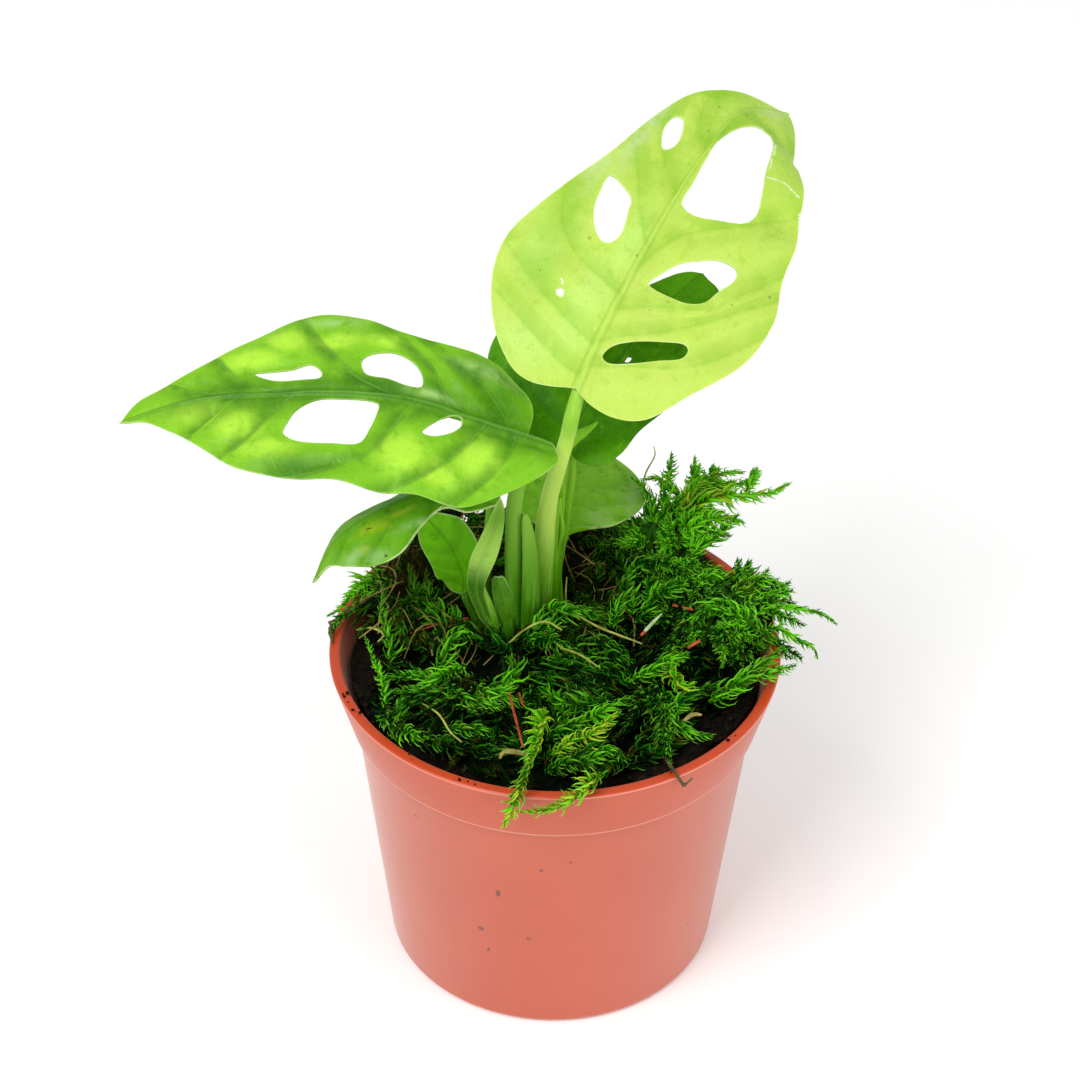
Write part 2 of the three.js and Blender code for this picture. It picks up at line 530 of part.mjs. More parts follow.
// The carpet: rings of points round a centre, raised by a height formula. Every other
// point is drawn up into a pointed shoot tip, leaning a little its own way.
function carpetSolid({ centre, reach, height, seed, grow = 0, rings = 7, sectors = 30 }) {
  const random = randomStream(seed);
  const [cx, cy] = centre;
  const floor = SOIL_TOP - 1.5;
  const top = [new THREE.Vector3(cx, cy, height(cx, cy) + grow)];
  const index = (ring, k) => 1 + (ring - 1) * sectors + (k % sectors);
  for (let ring = 1; ring <= rings; ring += 1) {
    for (let k = 0; k < sectors; k += 1) {
      const turn = ((k + (ring % 2) * 0.5) / sectors) * 360;
      const r = (reach(turn) + grow) * (ring / rings) ** 0.8;
      const a = THREE.MathUtils.degToRad(turn);
      const [x, y] = [cx + r * Math.cos(a), cy + r * Math.sin(a)];
      const isTip = (k + ring) % 2 === 0 && ring < rings;
      const lift = isTip ? lerp(TUFT.height[0], TUFT.height[1], random()) : 0;
      const stray = ring < rings ? TUFT.stray : 0;
      const [dx, dy] = [(random() - 0.5) * 2 * stray, (random() - 0.5) * 2 * stray];
      top.push(new THREE.Vector3(x + dx, y + dy, height(x, y) + lift + grow));
    }
  }
  const edge = Array.from({ length: sectors }, (_, k) => top.length + k);
  const points = [...top];
  for (let k = 0; k < sectors; k += 1) points.push(top[index(rings, k)].clone().setZ(floor));
  points.push(new THREE.Vector3(cx, cy, floor));
  const faces = [];
  for (let k = 0; k < sectors; k += 1) {
    const next = (k + 1) % sectors;
    faces.push([0, index(1, k), index(1, k + 1)]);
    faces.push([edge[k], points.length - 1, edge[next]]);
    faces.push([index(rings, k), edge[k], edge[next]], [index(rings, k), edge[next], index(rings, k + 1)]);
    for (let ring = 1; ring < rings; ring += 1) {
      const [a, b, c, d] = [index(ring, k), index(ring + 1, k), index(ring + 1, k + 1), index(ring, k + 1)];
      if (ring % 2 === 1) faces.push([a, b, c], [a, c, d]);
      else faces.push([a, b, d], [b, c, d]);
    }
  }
  return toSolid(closedGeometry(points, faces));
}

// Dense clumps that bulge over the rim at the right and rise at the back right.
const TUSSOCKS = [
  { centre: [24, 12, 48.6], radii: [9.2, 9, 6.6], seed: 5 },
  { centre: [18.5, 19.2, 49.5], radii: [7.4, 7.6, 6.8], seed: 12 },
];

function tussockSolid({ centre, radii, seed }) {
  const random = randomStream(seed);
  const ball = mergeVertices(stripped(new THREE.IcosahedronGeometry(1, 2)), 1e-4);
  const pos = ball.attributes.position;
  for (let i = 0; i < pos.count; i += 1) {
    const reach = random() < 0.4 ? 1.12 + 0.2 * random() : 0.84 + 0.1 * random();
    pos.setXYZ(i, ...[pos.getX(i), pos.getY(i), pos.getZ(i)].map((c, k) => centre[k] + c * radii[k] * reach));
  }
  return toSolid(ball);
}

// A moss shoot: whorls of pointed leaflets along a stem, as stacked cones with a starred
// edge, each whorl's points turned to the gaps of the one before.
function mossShoot(points, size = 1) {
  const curve = new THREE.CatmullRomCurve3(points.map(vec), false, "catmullrom", 0.5);
  const whorls = Math.max(4, Math.round(curve.getLength() / SHOOT.whorlPitch));
  const steps = 2 * whorls;
  const radiusAt = (ring, t) => {
    const taper = 1 - 0.45 * t;
    if (ring === steps) return 0.12;
    return (ring % 2 === 0 ? SHOOT.coreR : SHOOT.leafR) * taper * size;
  };
  const star = (ring, corner) => {
    if (ring % 2 === 0) return 1;
    return (corner + (ring - 1) / 2) % 2 === 0 ? 1 : 0.5;
  };
  return stalk(points.map((p) => [...p, 1]), { sides: SHOOT.sides, steps, radiusAt, star });
}

// Shoots that show one by one: over the rim, up at the back and round the stalks.
const GREEN_SHOOTS = [
  [[22, 3, 46], [27.5, 4.5, 50.6], [33, 6, 50.4], [38.2, 6.8, 47.4]],
  [[23, -5, 45.5], [28.4, -2.5, 50.6], [32.4, 0, 49.8], [34.8, 1.6, 46.6]],
  [[22, 12, 52], [27, 16, 56], [31, 20, 55.6], [34, 23, 52.6]],
  [[18, 17, 52], [22, 21, 57.6], [26, 24, 58.8], [31, 26, 57]],
  [[16, 17, 50], [17.5, 21, 56], [19, 25, 58.6], [20.5, 29, 58]],
  [[14.5, 19, 47], [15.5, 23, 52], [16.5, 27, 54.6], [18.5, 30.5, 53.6]],
  [[24, 10, 51], [29, 11.5, 55.5], [33, 13.5, 54.6], [36, 15, 51]],
  [[24, 8, 50], [28.6, 8.6, 54], [32.4, 9.8, 52.6], [35.6, 11.4, 49.4]],
  [[-3, -19, 46], [-4.6, -25.5, 51], [-5.8, -30.6, 49.6], [-6.4, -33, 44.6]],
  [[6, -20, 46], [5.6, -26, 51], [3.4, -31, 50], [-0.6, -32.8, 47.2]],
  [[-17, -16, 45.5], [-20.6, -9, 49.5], [-22.4, -1, 51.4], [-23, 6, 53]],
  [[-20.5, -11, 45.4], [-24, -5.5, 48.6], [-25.2, -0.5, 49.4], [-25.6, 3.4, 49]],
  [[-14, -1, 46], [-14.6, 2.6, 49.8], [-15.6, 5.6, 49.6], [-17.2, 7.6, 47.6]],
  [[9, 2, 45.6], [10, 7, 49.6], [10.6, 12, 51.4], [10, 16.4, 52.4]],
  [[14, 4, 46.6], [17.5, 7, 51.5], [21, 9, 52.6], [25, 10, 51]],
];
const OLD_SHOOTS = [
  [[-12, 17, 45.4], [-14.6, 20, 48.6], [-17.4, 21.6, 49.2], [-20, 21.4, 47.6]],
  [[4, 18, 45.4], [6.4, 20.5, 48.6], [8, 23.4, 49.4], [8.2, 26, 48]],
  [[-7, 22, 45.6], [-7.6, 25, 48.8], [-6, 27.4, 49], [-3, 28, 47.2]],
];

// Shoots scattered over the core by a seeded rule, each rising from it and arching over.
function scatterShoots({ count, seed, height, pick, length }) {
  const random = randomStream(seed);
  const shoots = [];
  while (shoots.length < count) {
    const spot = pick(random(), random());
    const heading = random() * 2 * Math.PI;
    const reach = lerp(length[0], length[1], random());
    const rise = 2.2 + 2 * random();
    const bend = (random() - 0.5) * 1.2;
    const step = (part, lift) => {
      const a = heading + bend * part;
      const x = spot[0] + reach * part * Math.cos(a);
      const y = spot[1] + reach * part * Math.sin(a);
      return [x, y, height(spot[0], spot[1]) + lift];
    };
    const inside = Math.hypot(step(1, 0)[0], step(1, 0)[1]) < 29;
    if (inside) shoots.push([step(0, -1.4), step(0.35, rise * 0.7), step(0.7, rise), step(1, rise * 0.55)]);
  }
  return shoots;
}

function pickGreen(a, b) {
  const turn = 360 * a;
  const r = mossReach(turn) * Math.sqrt(0.08 + 0.72 * b);
  const spot = [r * Math.cos((turn * Math.PI) / 180), r * Math.sin((turn * Math.PI) / 180)];
  return spot[1] > 6 && spot[0] < 12 ? [spot[0] * 0.8, -Math.abs(spot[1])] : spot;
}

const oldReach = (turn) => 12.5 - 4.5 * Math.abs(Math.sin((turn * Math.PI) / 180)) ** 1.5;
const OLD_CARPET = { centre: [-4, 19], reach: oldReach, height: oldMossTop, seed: 7, rings: 4, sectors: 20 };
const GREEN_CARPET = { centre: [0, 0], reach: mossReach, height: mossTop, seed: 23 };
const OLD_SIZE = 0.8;

function buildMoss() {
  const potRoom = toSolid(lathe(potProfile(GAP)));
  const stalks = stalkSolids(GAP);
  const soilRoom = soilSolid(GAP);
  const old = union([carpetSolid(OLD_CARPET), ...OLD_SHOOTS.map((shoot) => mossShoot(shoot, OLD_SIZE))]);
  const oldRoom = union([
    carpetSolid({ ...OLD_CARPET, grow: GAP }),
    ...OLD_SHOOTS.map((shoot) => stalk(shoot.map((p) => [...p, SHOOT.leafR * OLD_SIZE + GAP]), { steps: 8 })),
  ]);
  const scattered = scatterShoots({ count: 6, seed: MOSS_SEED, height: mossTop, pick: pickGreen, length: [8, 12] });
  const greenShoots = [...GREEN_SHOOTS, ...scattered];
  const clumps = [carpetSolid(GREEN_CARPET), ...TUSSOCKS.map(tussockSolid)];
  const green = union([...clumps, ...greenShoots.map((shoot) => mossShoot(shoot))]);
  return {
    moss: mainBody(cut(green, [potRoom, soilRoom, oldRoom, ...stalks])),
    old_moss: mainBody(cut(old, [potRoom, soilRoom, ...stalks])),
  };
}

// ---------------------------------------------------------------- the plant in its pot
const plant = new THREE.Group();
plant.add(piece("pot", buildPot(), 0xd86e50, 0.42));
plant.add(piece("soil", cut(soilSolid(0), stalkSolids(GAP)), 0x1c130c, 0.95));
const { moss, old_moss: oldMoss } = buildMoss();
plant.add(piece("moss", moss, 0x3f8a1e, 0.85));
plant.add(piece("old_moss", oldMoss, 0x5a5220, 0.9));
for (const name of Object.keys(LEAVES)) {
  plant.add(piece(name, buildLeaf(name), LEAVES[name].color, 0.4));
}
plant.add(piece("new_leaf", stalk(SPEAR, { sides: 7, steps: 18 }), GREEN_STALK, 0.4));
plant.add(piece("old_stalk", stalk(OLD_STALK, { sides: 7, steps: 12 }), GREEN_STALK, 0.5));
const cataphyll = union([bladeSolid(CATAPHYLL, 8, 1).solid, stalk(CATAPHYLL.stalk, { sides: 8, steps: 6 })]);
plant.add(piece("cataphyll", cataphyll, GREEN_GREY, 0.5));

export default plant;
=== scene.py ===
"""The looks of a young monstera adansonii in its nursery pot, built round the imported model.

Shapes are given in millimetres, in the model's own frame, and scaled to metres at the end.
"""
import math

import bmesh
import bpy
import numpy as np
from mathutils import Matrix, Vector, kdtree, noise


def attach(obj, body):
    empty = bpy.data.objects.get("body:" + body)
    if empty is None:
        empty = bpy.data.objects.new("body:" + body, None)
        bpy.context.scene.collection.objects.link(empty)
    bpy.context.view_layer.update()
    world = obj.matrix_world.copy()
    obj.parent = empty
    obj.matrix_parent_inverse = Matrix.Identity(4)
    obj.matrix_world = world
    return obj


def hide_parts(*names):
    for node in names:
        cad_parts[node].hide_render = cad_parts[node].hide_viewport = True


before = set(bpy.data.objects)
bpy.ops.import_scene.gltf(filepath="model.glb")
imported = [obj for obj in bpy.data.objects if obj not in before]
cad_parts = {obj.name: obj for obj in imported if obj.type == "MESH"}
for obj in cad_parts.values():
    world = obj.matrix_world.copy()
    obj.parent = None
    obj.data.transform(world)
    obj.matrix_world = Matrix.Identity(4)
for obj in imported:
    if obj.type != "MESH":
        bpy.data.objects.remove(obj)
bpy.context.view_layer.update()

MM = 0.001
UP = Vector((0, 0, 1))


def add_object(name, data):
    item = bpy.data.objects.new(name, data)
    bpy.context.scene.collection.objects.link(item)
    return item


# ------------------------------------------------------------------ camera
VIEW_ELEVATION = 37.6  # degrees above the table
VIEW_ROLL = 0.65
VIEW_DISTANCE = 400
VIEW_TARGET = Vector((-2.15, 0, 65.99))
VIEW_LENS = 102.97


def add_camera():
    tilt = math.radians(VIEW_ELEVATION)
    roll = math.radians(VIEW_ROLL)
    back = Vector((0, -math.cos(tilt), math.sin(tilt)))
    side = Vector((1, 0, 0))
    top = back.cross(side)
    right = side * math.cos(roll) + top * math.sin(roll)
    above = top * math.cos(roll) - side * math.sin(roll)
    data = bpy.data.cameras.new("camera")
    data.lens = VIEW_LENS
    data.clip_start = 0.01
    camera = add_object("camera", data)
    place = (VIEW_TARGET + back * VIEW_DISTANCE) * MM
    turn = Matrix((right, above, back)).transposed().to_4x4()
    camera.matrix_world = Matrix.Translation(place) @ turn
    bpy.context.scene.camera = camera


add_camera()


# ------------------------------------------------------------------ small tools
def random_stream(seed):
    """Seeded random numbers, 0 to 1."""
    state = seed
    while True:
        state = (state * 1664525 + 1013904223) % 4294967296
        yield state / 4294967296


def mix(a, b, t):
    return a + (b - a) * t


def along(values, t):
    """A value given at the start, middle and end of a run, or one value for all of it."""
    return np.interp(t, (0, 0.5, 1), values) if isinstance(values, (list, tuple)) else values + 0 * t


def smooth_step(value, low, high):
    part = np.clip((value - low) / (high - low), 0, 1)
    return part * part * (3 - 2 * part)


def hump(x, y, centre_x, centre_y, half_x, half_y):
    """1 at the centre, and softly down to 0 round it."""
    return np.exp(-(((x - centre_x) / half_x) ** 2) - ((y - centre_y) / half_y) ** 2)


def turn_between(a, b):
    """The angle between two directions, in degrees."""
    return abs((a - b + 540) % 360 - 180)


def polar(turn, reach):
    """The x and y of a step in the direction turn, in radians."""
    return reach * math.cos(turn), reach * math.sin(turn)


def catmull_rom(points, closed=False, centripetal=False, density=30):
    """A dense line along a Catmull-Rom curve through the points."""
    points = [Vector(p) for p in points]
    count = len(points)
    line = []
    for i in range(count if closed else count - 1):
        p1, p2 = points[i], points[(i + 1) % count]
        p0 = points[i - 1] if closed or i > 0 else 2 * p1 - p2
        p3 = points[(i + 2) % count] if closed or i + 2 < count else 2 * p2 - p1
        if centripetal:
            d0, d1, d2 = [max((b - a).length, 1e-4) ** 0.5 for a, b in ((p0, p1), (p1, p2), (p2, p3))]
            m1 = ((p1 - p0) / d0 - (p2 - p0) / (d0 + d1) + (p2 - p1) / d1) * d1
            m2 = ((p2 - p1) / d1 - (p3 - p1) / (d1 + d2) + (p3 - p2) / d2) * d1
        else:
            m1, m2 = (p2 - p0) / 2, (p3 - p1) / 2
        for k in range(density):
            w = k / density
            curve = 2 * (p1 - p2) + m1 + m2
            line.append(p1 + m1 * w + (3 * (p2 - p1) - 2 * m1 - m2) * w * w + curve * w ** 3)
    if not closed:
        line.append(points[-1])
    return line


def lengths(line):
    steps = np.linalg.norm(np.diff(np.array(line), axis=0), axis=1)
    return np.concatenate(([0], np.cumsum(steps)))


def read_off(stops, run, rows):
    """Rows that stand at the distances run, read off at the stops between them."""
    return np.stack([np.interp(stops, run, rows[:, k]) for k in range(rows.shape[1])], 1)


def evenly(line, count):
    """The line cut into count equal steps."""
    run = lengths(line)
    return read_off(np.linspace(0, run[-1], count + 1), run, np.array(line))


def unit(rows):
    return rows / np.linalg.norm(rows, axis=1, keepdims=True)


def to_mesh(name, bm):
    mesh = bpy.data.meshes.new(name)
    bm.to_mesh(mesh)
    bm.free()
    return mesh


def point_outwards(bm):
    bmesh.ops.recalc_face_normals(bm, faces=bm.faces)


def finish_piece(name, bm, materials, nodes, sharp=45):
    """Turns a bmesh in millimetres into a piece that stands for its CAD nodes."""
    bmesh.ops.scale(bm, vec=(MM, MM, MM), verts=bm.verts)
    mesh = to_mesh(name, bm)
    for material in materials:
        mesh.materials.append(material)
    mesh.shade_smooth()
    mesh.set_sharp_from_angle(angle=math.radians(sharp))
    piece = add_object(name, mesh)
    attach(piece, "root")
    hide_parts(*nodes)


# ------------------------------------------------------------------ materials
VEIN_SHIFT = 40.5  # added to the vein count: it stays above 0, and each vein lies at a half
LEAF_GLOW = (0.8, 1.0, 0.3)  # how far red, green and blue light sink into a leaf
STALK_GREENS_FROM = 48  # heights in mm: where a stalk starts to pale
BLADE_SHADE = (74, 80)  # where it darkens again under its blade
BED_CROWN = (49, 52)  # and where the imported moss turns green
SPECK_BROWN = (52, 46, 12)
FRESH_MOSS = (168, 196, 36)


def tone(red, green, blue):
    """A colour given in everyday 0 to 255 numbers, for a shader."""
    def linear(value):
        part = value / 255
        return part / 12.92 if part <= 0.04045 else ((part + 0.055) / 1.055) ** 2.4
    return (linear(red), linear(green), linear(blue), 1)


class Finish:
    """One material: a ground colour, the colours laid over it one by one, and the surface's own values."""

    def __init__(self, name, ground, roughness=0.5, specular=0.5):
        self.material = bpy.data.materials.new(name)
        self.material.use_nodes = True
        self.tree = self.material.node_tree
        self.surface = self.tree.nodes["Principled BSDF"]
        self.surface.inputs["Roughness"].default_value = roughness
        self.surface.inputs["Specular IOR Level"].default_value = specular
        self.colour = tone(*ground)

    def node(self, kind, inputs, output=0, **settings):
        node = self.tree.nodes.new("ShaderNode" + kind)
        for key, value in settings.items():
            setattr(node, key, value)
        for key, value in inputs.items():
            if isinstance(value, bpy.types.NodeSocket):
                self.tree.links.new(value, node.inputs[key])
            else:
                node.inputs[key].default_value = value
        return node.outputs[output]

    def math(self, operation, a, b=0.0):
        return self.node("Math", {0: a, 1: b}, operation=operation)

    def times(self, a, b):
        return self.math("MULTIPLY", a, b)

    def off(self, value, centre):
        """How far a value is from its centre, either way."""
        return self.math("ABSOLUTE", self.math("SUBTRACT", value, centre))

    def rise(self, value, low, high):
        """0 below low and 1 above high, or the other way round where low is the larger."""
        inputs = {"Value": value, "From Min": low, "From Max": high}
        return self.node("MapRange", inputs, interpolation_type="SMOOTHSTEP")

    def attribute(self, name, output=2):
        return self.node("Attribute", {}, output=output, attribute_name=name)

    def place(self):
        return self.node("TexCoord", {}, output=3)

    def height(self):
        return self.node("SeparateXYZ", {0: self.place()}, output=2)

    def above(self, low, high):
        """0 below the lower of two heights in millimetres, and 1 above the higher."""
        return self.rise(self.height(), low * MM, high * MM)

    def scaled(self, vector, factors):
        return self.node("VectorMath", {0: vector, 1: factors}, operation="MULTIPLY")

    def noise(self, vector, scale, detail=2.0, roughness=0.5):
        inputs = {"Vector": vector, "Scale": scale, "Detail": detail, "Roughness": roughness}
        return self.node("TexNoise", inputs)

    def cells(self, vector, scale, feature="F1"):
        return self.node("TexVoronoi", {"Vector": vector, "Scale": scale}, feature=feature)

    def past_vein(self):
        """How far a point lies past its nearest lateral vein, in mm; below 0 where it comes before it."""
        phase = self.math("FRACT", self.math("ADD", self.attribute("vein_phase"), VEIN_SHIFT))
        return self.times(self.math("SUBTRACT", phase, 0.5), self.attribute("vein_gap"))

    def mark(self, flat, start, end, width):
        """1 on a thin ragged mark from start to end in a blade's flat coordinates, and 0 beside it."""
        run = Vector((*end, 0)) - Vector((*start, 0))
        away = self.node("VectorMath", {0: flat, 1: (*start, 0)}, operation="SUBTRACT")
        step = run / max(run.length_squared, 1e-4)
        share = self.node("VectorMath", {0: away, 1: step}, output=1, operation="DOT_PRODUCT")
        share = self.node("Math", {0: share, 1: 0.0}, operation="ADD", use_clamp=True)
        nearest = self.node("VectorMath", {0: run, "Scale": share}, operation="SCALE")
        apart = self.node("VectorMath", {0: away, 1: nearest}, output=1, operation="DISTANCE")
        ragged = self.times(self.noise(flat, 3.4, 3.0, 0.75), width * 7)
        return self.rise(self.math("ADD", apart, ragged), width * 4.4, width * 3.4)

    def cover(self, shade, mask, share=None):
        """Lays a colour over what is there: all of it where the mask is 1, or only a share of it."""
        if share is not None:
            mask = self.times(mask, share)
        self.colour = self.node("Mix", {0: mask, 6: self.colour, 7: tone(*shade)}, output=2, data_type="RGBA")

    def relief(self, height, depth, strength=1.0):
        """Fine surface relief; depth is in millimetres."""
        bump = self.node("Bump", {"Height": height, "Distance": depth * MM, "Strength": strength})
        self.tree.links.new(bump, self.surface.inputs["Normal"])

    def roughness(self, value, low, high):
        spread = self.node("MapRange", {"Value": value, "To Min": low, "To Max": high})
        self.tree.links.new(spread, self.surface.inputs["Roughness"])

    def tune(self, group, **values):
        """Sets the surface's own values of one group, such as its sheen."""
        for key, value in values.items():
            self.surface.inputs[group + " " + key].default_value = value

    def done(self):
        self.tree.links.new(self.colour, self.surface.inputs["Base Color"])
        return self.material


def leaf_finish(name, look):
    """The upper side of a leaf: clouded green, creased at the veins, with a ridged midrib and a thin rim;
    painted shade darkens it along the veins, beside the midrib and in soft marks, and painted sheen pales
    other marks.
    """
    f = Finish(name, look["base"], specular=look["specular"])
    flat = f.attribute("flat", output=1)
    along_part = f.attribute("along_part")
    past_vein = f.past_vein()
    vein_mm = f.math("ABSOLUTE", past_vein)
    across = f.math("ABSOLUTE", f.attribute("across"))
    cloud = f.noise(flat, 0.16, 3.0, 0.55)
    mottle = f.noise(flat, 0.5, 4.0, 0.62)
    grain = f.noise(flat, 2.1, 4.0, 0.65)
    uneven = f.rise(f.noise(flat, 0.3, 2.0), 0.2, 0.6)
    net = f.cells(flat, 0.85, "DISTANCE_TO_EDGE")
    f.cover(look["tip"], f.rise(along_part, look["tip_from"], 0.95))
    f.cover(look["cloud"], f.rise(cloud, 0.38, 0.66))
    f.cover(look["bright"], f.times(f.rise(vein_mm, 0.9, 3.6), f.rise(cloud, 0.75, 0.3)), look["between"])
    patch = f.math("ADD", f.attribute("blotch"), f.times(f.math("SUBTRACT", mottle, 0.5), 0.8))
    f.cover(look["blotch"], f.rise(patch, 0.02, 0.95), look["blotch_share"])
    # painted shade: a wide darker zone along the midrib
    core = f.times(f.rise(across, 5, 0.8), f.rise(along_part, 0.98, 0.7))
    core = f.times(core, f.math("ADD", f.times(uneven, 0.6), 0.4))
    f.cover(look["deep"], core, look["core"])
    f.cover(look["bright"], f.rise(mottle, 0.54, 0.7), look["mottle"])
    f.cover(look["deep"], f.rise(mottle, 0.46, 0.3), look["mottle"])
    # painted shade: a soft dark band on the tip side of each lateral vein, standing in for light falling
    # across the quilted blade
    vein_shade = f.times(f.rise(past_vein, -0.7, 0.1), f.rise(past_vein, look["shade_mm"], 0.1))
    f.cover(look["deep"], f.times(vein_shade, uneven), look["vein_shade"])
    # painted shade: soft dark marks where a blade or the ribbon lies in shade
    f.cover(look["deep"], f.attribute("painted_shade"), look["painted_shade_share"])
    if "root" in look:
        f.cover(look["root"], f.rise(along_part, 0.5, 0.26))
    # painted shade: a thin dark line along each lateral vein's groove
    f.cover(look["deep"], f.rise(vein_mm, 0.3, 0.04), look["crease_shade"])
    f.cover(look["vein"], f.rise(vein_mm, 0.2, 0.04), look["vein_share"])
    f.cover(look["vein"], f.rise(net, 0.06, 0.0), 0.1)
    f.cover(look["deep"], f.rise(grain, 0.5, 0.72), look["grain"])
    slimming = {"Value": along_part, "From Max": 0.6, "To Min": look["rib_mm"], "To Max": 0.16}
    off_rib = f.math("DIVIDE", across, f.node("MapRange", slimming))
    # painted shade: dark bands in the grooves either side of the midrib
    f.cover(look["deep"], f.rise(f.off(off_rib, 1.45), 0.95, 0.1), look["rib_groove_shade"])
    f.cover(look["rib"], f.rise(off_rib, 1.05, 0.6), look["rib_share"])
    # painted sheen: pale grey-green patches where the glossy blade would reflect the light
    if "sheen_tone" in look:
        f.cover(look["sheen_tone"], f.times(f.attribute("painted_sheen"), f.rise(mottle, 0.25, 0.6)), 0.75)
    rim = f.times(f.rise(f.attribute("rim"), 0.2, 0.05), f.rise(cloud, 0.3, 0.6))
    f.cover(look["rim"], rim, look["rim_share"])
    f.cover(SPECK_BROWN, f.rise(f.noise(flat, 1.1, 0.0), 0.835, 0.85), look["specks"])
    for start, end, width, mark in look["marks"]:
        f.cover(mark, f.mark(flat, start, end, width))
    height = f.math("ADD", f.times(f.rise(net, 0.0, 0.18), 0.45), f.times(grain, 0.5))
    f.relief(f.math("ADD", height, mottle), 0.09, 0.6)
    f.roughness(f.noise(flat, 0.6, 3.0), look["gloss"] - 0.06, look["gloss"] + 0.12)
    f.tune("Subsurface", Weight=0.22, Radius=LEAF_GLOW, Scale=0.6 * MM)
    return f.done()


def leaf_back_finish(name, look):
    """The underside of a leaf: paler and duller, with raised veins."""
    f = Finish(name, look["under"], specular=0.12)
    flat = f.attribute("flat", output=1)
    cloud = f.noise(flat, 0.2, 3.0, 0.5)
    net = f.cells(flat, 0.85, "DISTANCE_TO_EDGE")
    f.cover(look["base"], f.rise(cloud, 0.35, 0.7))
    f.cover(look["vein"], f.rise(net, 0.1, 0.0), 0.3)
    f.cover(look["vein"], f.rise(f.math("ABSOLUTE", f.past_vein()), 0.45, 0.1), 0.75)
    f.cover(look["rim"], f.rise(f.attribute("rim"), 0.3, 0.08), 0.8)
    f.relief(f.rise(net, 0.12, 0.0), 0.08, 0.7)
    f.roughness(cloud, 0.5, 0.62)
    f.tune("Subsurface", Weight=0.22, Radius=LEAF_GLOW, Scale=0.6 * MM)
    return f.done()


def stalk_finish(name, low, high, pale, top_mm):
    """A leaf stalk: deep green in the moss, paler upward, shaded under its blade, with fine streaks."""
    f = Finish(name, low, specular=0.1)
    place = f.place()
    streaks = f.noise(f.scaled(place, (2600, 2600, 90)), 1.0, 3.0, 0.6)
    cloud = f.noise(place, 220, 3.0, 0.5)
    f.cover(high, f.above(STALK_GREENS_FROM, top_mm))
    f.cover(low, f.above(*BLADE_SHADE), 0.6)
    f.cover(pale, f.rise(streaks, 0.45, 0.75), 0.35)
    f.cover(low, f.rise(cloud, 0.5, 0.75), 0.14)
    f.relief(streaks, 0.05, 0.5)
    f.roughness(cloud, 0.36, 0.52)
    f.tune("Subsurface", Weight=0.2, Radius=LEAF_GLOW, Scale=0.8 * MM)
    return f.done()


def moss_finish(name, deep, middle, bright, tip, dry, dry_share):
    """Moss leaflets: every shoot its own green, dark at its core with painted shade and paler at its tips,
    some of it dried.
    """
    f = Finish(name, deep, specular=0.06)
    shoot = f.attribute("shoot_tone")
    outward = f.attribute("leaflet_tip")
    patches = f.noise(f.place(), 190, 3.0)
    f.cover(middle, f.rise(shoot, 0.0, 0.55))
    f.cover(bright, f.rise(shoot, 0.45, 1.0))
    f.cover(FRESH_MOSS, f.rise(shoot, 1.15, 1.45))
    f.cover(deep, f.rise(patches, 0.5, 0.66), 0.55)
    f.cover(dry, f.rise(f.noise(f.place(), 330, 3.0, 0.6), 0.56, 0.68), dry_share)
    f.cover(tip, f.times(f.rise(outward, 0.35, 1.0), f.rise(shoot, 0.1, 0.8)), 0.75)
    # painted shade: each leaflet darkens toward its base, inside the shoot
    f.cover(deep, f.rise(outward, 0.45, 0.0), 0.7)
    f.roughness(patches, 0.45, 0.65)
    return f.done()


def bed_finish(name, dark, light, crown):
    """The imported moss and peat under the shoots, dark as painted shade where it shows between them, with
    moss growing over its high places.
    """
    f = Finish(name, dark, roughness=0.9, specular=0.08)
    clumps = f.noise(f.place(), 420, 5.0, 0.7)
    fibres = f.noise(f.scaled(f.place(), (1500, 700, 900)), 1.0, 4.0, 0.7)
    f.cover(light, f.rise(clumps, 0.42, 0.7))
    f.cover(dark, f.rise(fibres, 0.62, 0.4))
    f.cover(crown, f.times(f.above(*BED_CROWN), f.rise(fibres, 0.35, 0.65)))
    f.relief(f.math("ADD", clumps, fibres), 0.5, 0.9)
    return f.done()


def soil_finish():
    """Damp dark peat with a few pale fibres and grains."""
    f = Finish("damp_peat", (9, 6, 4), specular=0.12)
    clods = f.noise(f.place(), 520, 6.0, 0.7)
    grains = f.cells(f.place(), 1100)
    f.cover((40, 27, 17), f.rise(clods, 0.4, 0.7))
    f.cover((110, 84, 54), f.rise(grains, 0.16, 0.08), 0.3)
    f.relief(f.math("ADD", clods, f.times(grains, 0.4)), 0.5, 1.0)
    f.roughness(clods, 0.6, 0.95)
    return f.done()


